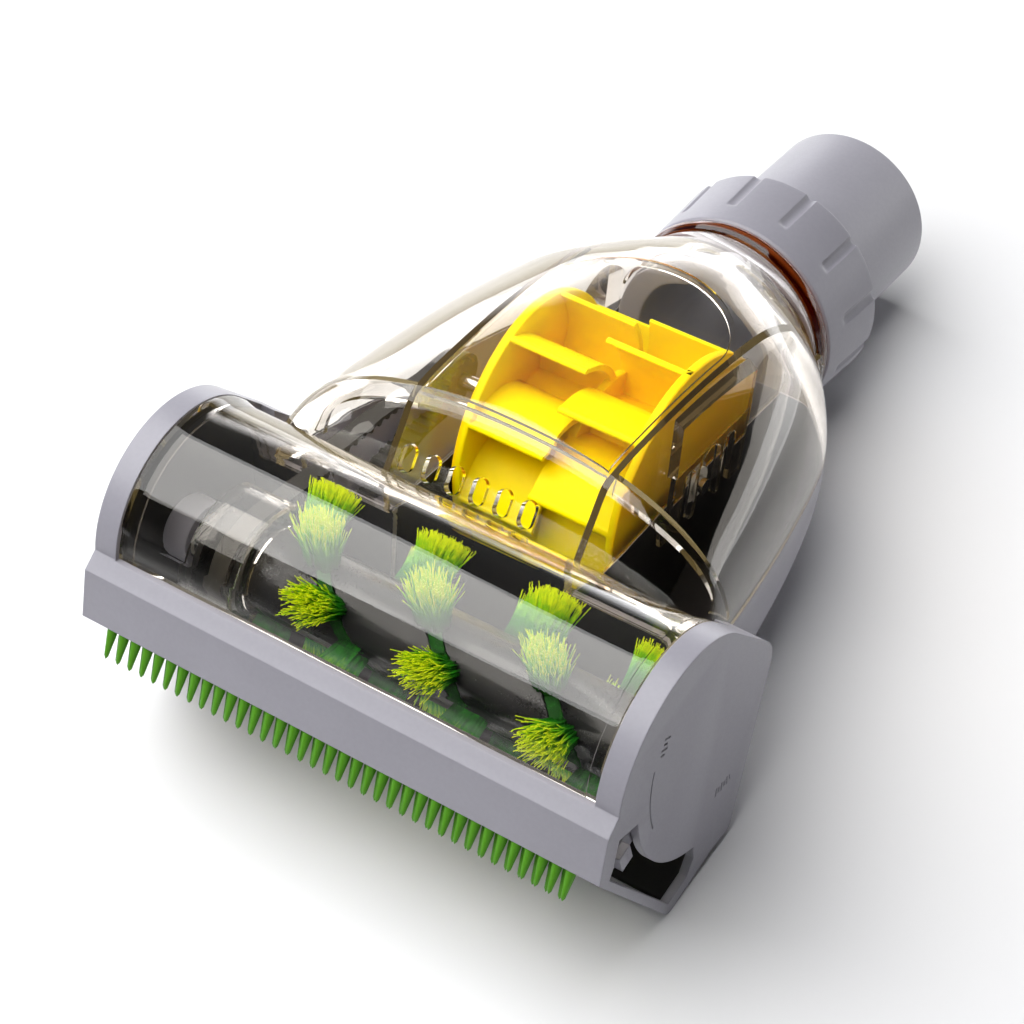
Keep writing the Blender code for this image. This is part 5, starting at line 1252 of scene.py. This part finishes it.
def table_finish():
    """Pale and dull. Seen in a glossy piece it carries a painted reflection: darker in front, where
    the screen stands, and glowing behind on the left."""
    material, tree, shader = new_material("table_white")
    shader.inputs["Roughness"].default_value = 0.9
    spot = add(tree, "ShaderNodeTexCoord").outputs["Object"]
    mirror = math_node(tree, "GREATER_THAN",
                       add(tree, "ShaderNodeLightPath").outputs["Glossy Depth"], 0.5)
    dark = ranged(tree, dot(tree, spot, (0.0, -1.0, 0.0)), 0.15, 0.34, 0.0, PAINTED_REFLECTION_DARKENING)
    lit = ranged(tree, dot(tree, spot, (-0.7, 0.7, 0.0)), 0.0, 0.3, 0.0, PAINTED_REFLECTION_GLOW)
    value = math_node(tree, "SUBTRACT", 1.0, math_node(tree, "MULTIPLY", mirror, dark))
    tone = add(tree, "ShaderNodeHueSaturation", {"Color": FLOOR_TONE, "Value": value}).outputs[0]
    tree.links.new(tone, shader.inputs["Base Color"])
    # Painted reflection: the table glows only in glossy rays.
    shader.inputs["Emission Color"].default_value = (1.0, 1.0, 1.0, 1.0)
    tree.links.new(math_node(tree, "MULTIPLY", mirror, lit), shader.inputs["Emission Strength"])
    return material


floor_mesh = bpy.data.meshes.new("table")
floor_corners = FLOOR_SIZE * np.array(((-1, -1, 0), (1, -1, 0), (1, 1, 0), (-1, 1, 0)))
floor_mesh.from_pydata(floor_corners, [], [(0, 1, 2, 3)])
floor = add_mesh("table", floor_mesh, table_finish(), SHARP)

world = bpy.data.worlds.new("room")
bpy.context.scene.world = world
world.use_nodes = True
air = world.node_tree
look = add(air, "ShaderNodeTexCoord").outputs["Generated"]
height = add(air, "ShaderNodeSeparateXYZ", {0: look}).outputs["Z"]
glow = math_node(air, "ADD",
                 ranged(air, dot(air, look, WALL_WAY), 0.0, 0.8, ROOM_GLOW, WALL_GLOW),
                 ranged(air, dot(air, look, (1.0, 0.0, 0.0)), 0.3, 0.95, 0.0, SIDE_GLOW))
mirrored = add(air, "ShaderNodeLightPath").outputs["Is Glossy Ray"]
share = math_node(air, "MULTIPLY", ranged(air, height, 0.04, 0.24, 1.0, HIGH_SHARE),
                  ranged(air, mirrored, 0.0, 1.0, 1.0, 1.9))
sky = air.nodes["Background"].inputs
air.links.new(math_node(air, "MULTIPLY", glow, share), sky["Strength"])
sky["Color"].default_value = (0.95, 0.96, 1.0, 1.0)


def laid_out(thing, axes, place):
    """Stand a thing at a place, with the directions of its own three axes."""
    thing.matrix_world = Matrix(np.vstack((np.column_stack((*axes, place)), (0, 0, 0, 1))))


def softbox(name, place, aim, size, radiance):
    """A flat lamp at a place, turned to a point, both in the neck's frame."""
    lamp = bpy.data.lights.new(name, "AREA")
    lamp.shape = "RECTANGLE"
    lamp.size, lamp.size_y = size
    lamp.energy = radiance * math.pi * size[0] * size[1]
    made = in_scene(name, lamp)
    at, to = laid(np.array((place, aim)))
    back = (at - to) / np.linalg.norm(at - to)
    across = np.array((1.0, 0.0, 0.0)) - back * back[0]
    across /= np.linalg.norm(across)
    laid_out(made, (across, np.cross(back, across), back), at)
    return made


softbox("large_softbox", *LARGE_LAMP, 4.2)
band_lamp = softbox("band_in_the_gloss", *LARGE_LAMP, 1.6)
band_lamp.visible_diffuse = False
softbox("rim_lamp", *RIM_LAMP, 2.6)

# The photograph's viewpoint: azimuth and elevation about the neck's frame, roll, distance and
# the aim's offset in the picture; the lens is for a square picture.
AZIMUTH, ELEVATION, ROLL = (math.radians(a) for a in (31.5, 40.32, 3.64))
DISTANCE = 0.6082
AIM_OFFSET = (-0.0376, -0.0374)
LENS = 103.28
SENSOR = 36.0
NEAR_CLIP, FAR_CLIP = 0.02, 20.0
back = np.array((math.sin(AZIMUTH) * math.cos(ELEVATION),
                 -math.cos(AZIMUTH) * math.cos(ELEVATION), math.sin(ELEVATION)))
right = np.array((math.cos(AZIMUTH), math.sin(AZIMUTH), 0.0))
up = np.cross(back, right)
rolled = np.array((math.cos(ROLL) * right + math.sin(ROLL) * up,
                   math.cos(ROLL) * up - math.sin(ROLL) * right, back))
eye = -np.array((*AIM_OFFSET, -DISTANCE)) @ rolled
lens = bpy.data.cameras.new("photo_view")
lens.lens = LENS
lens.sensor_width = SENSOR
lens.clip_start, lens.clip_end = NEAR_CLIP, FAR_CLIP
camera = in_scene("photo_view", lens)
laid_out(camera, rolled @ NECK_FRAME, laid(eye))
bpy.context.scene.camera = camera
bpy.context.scene.view_settings.view_transform = "Standard"
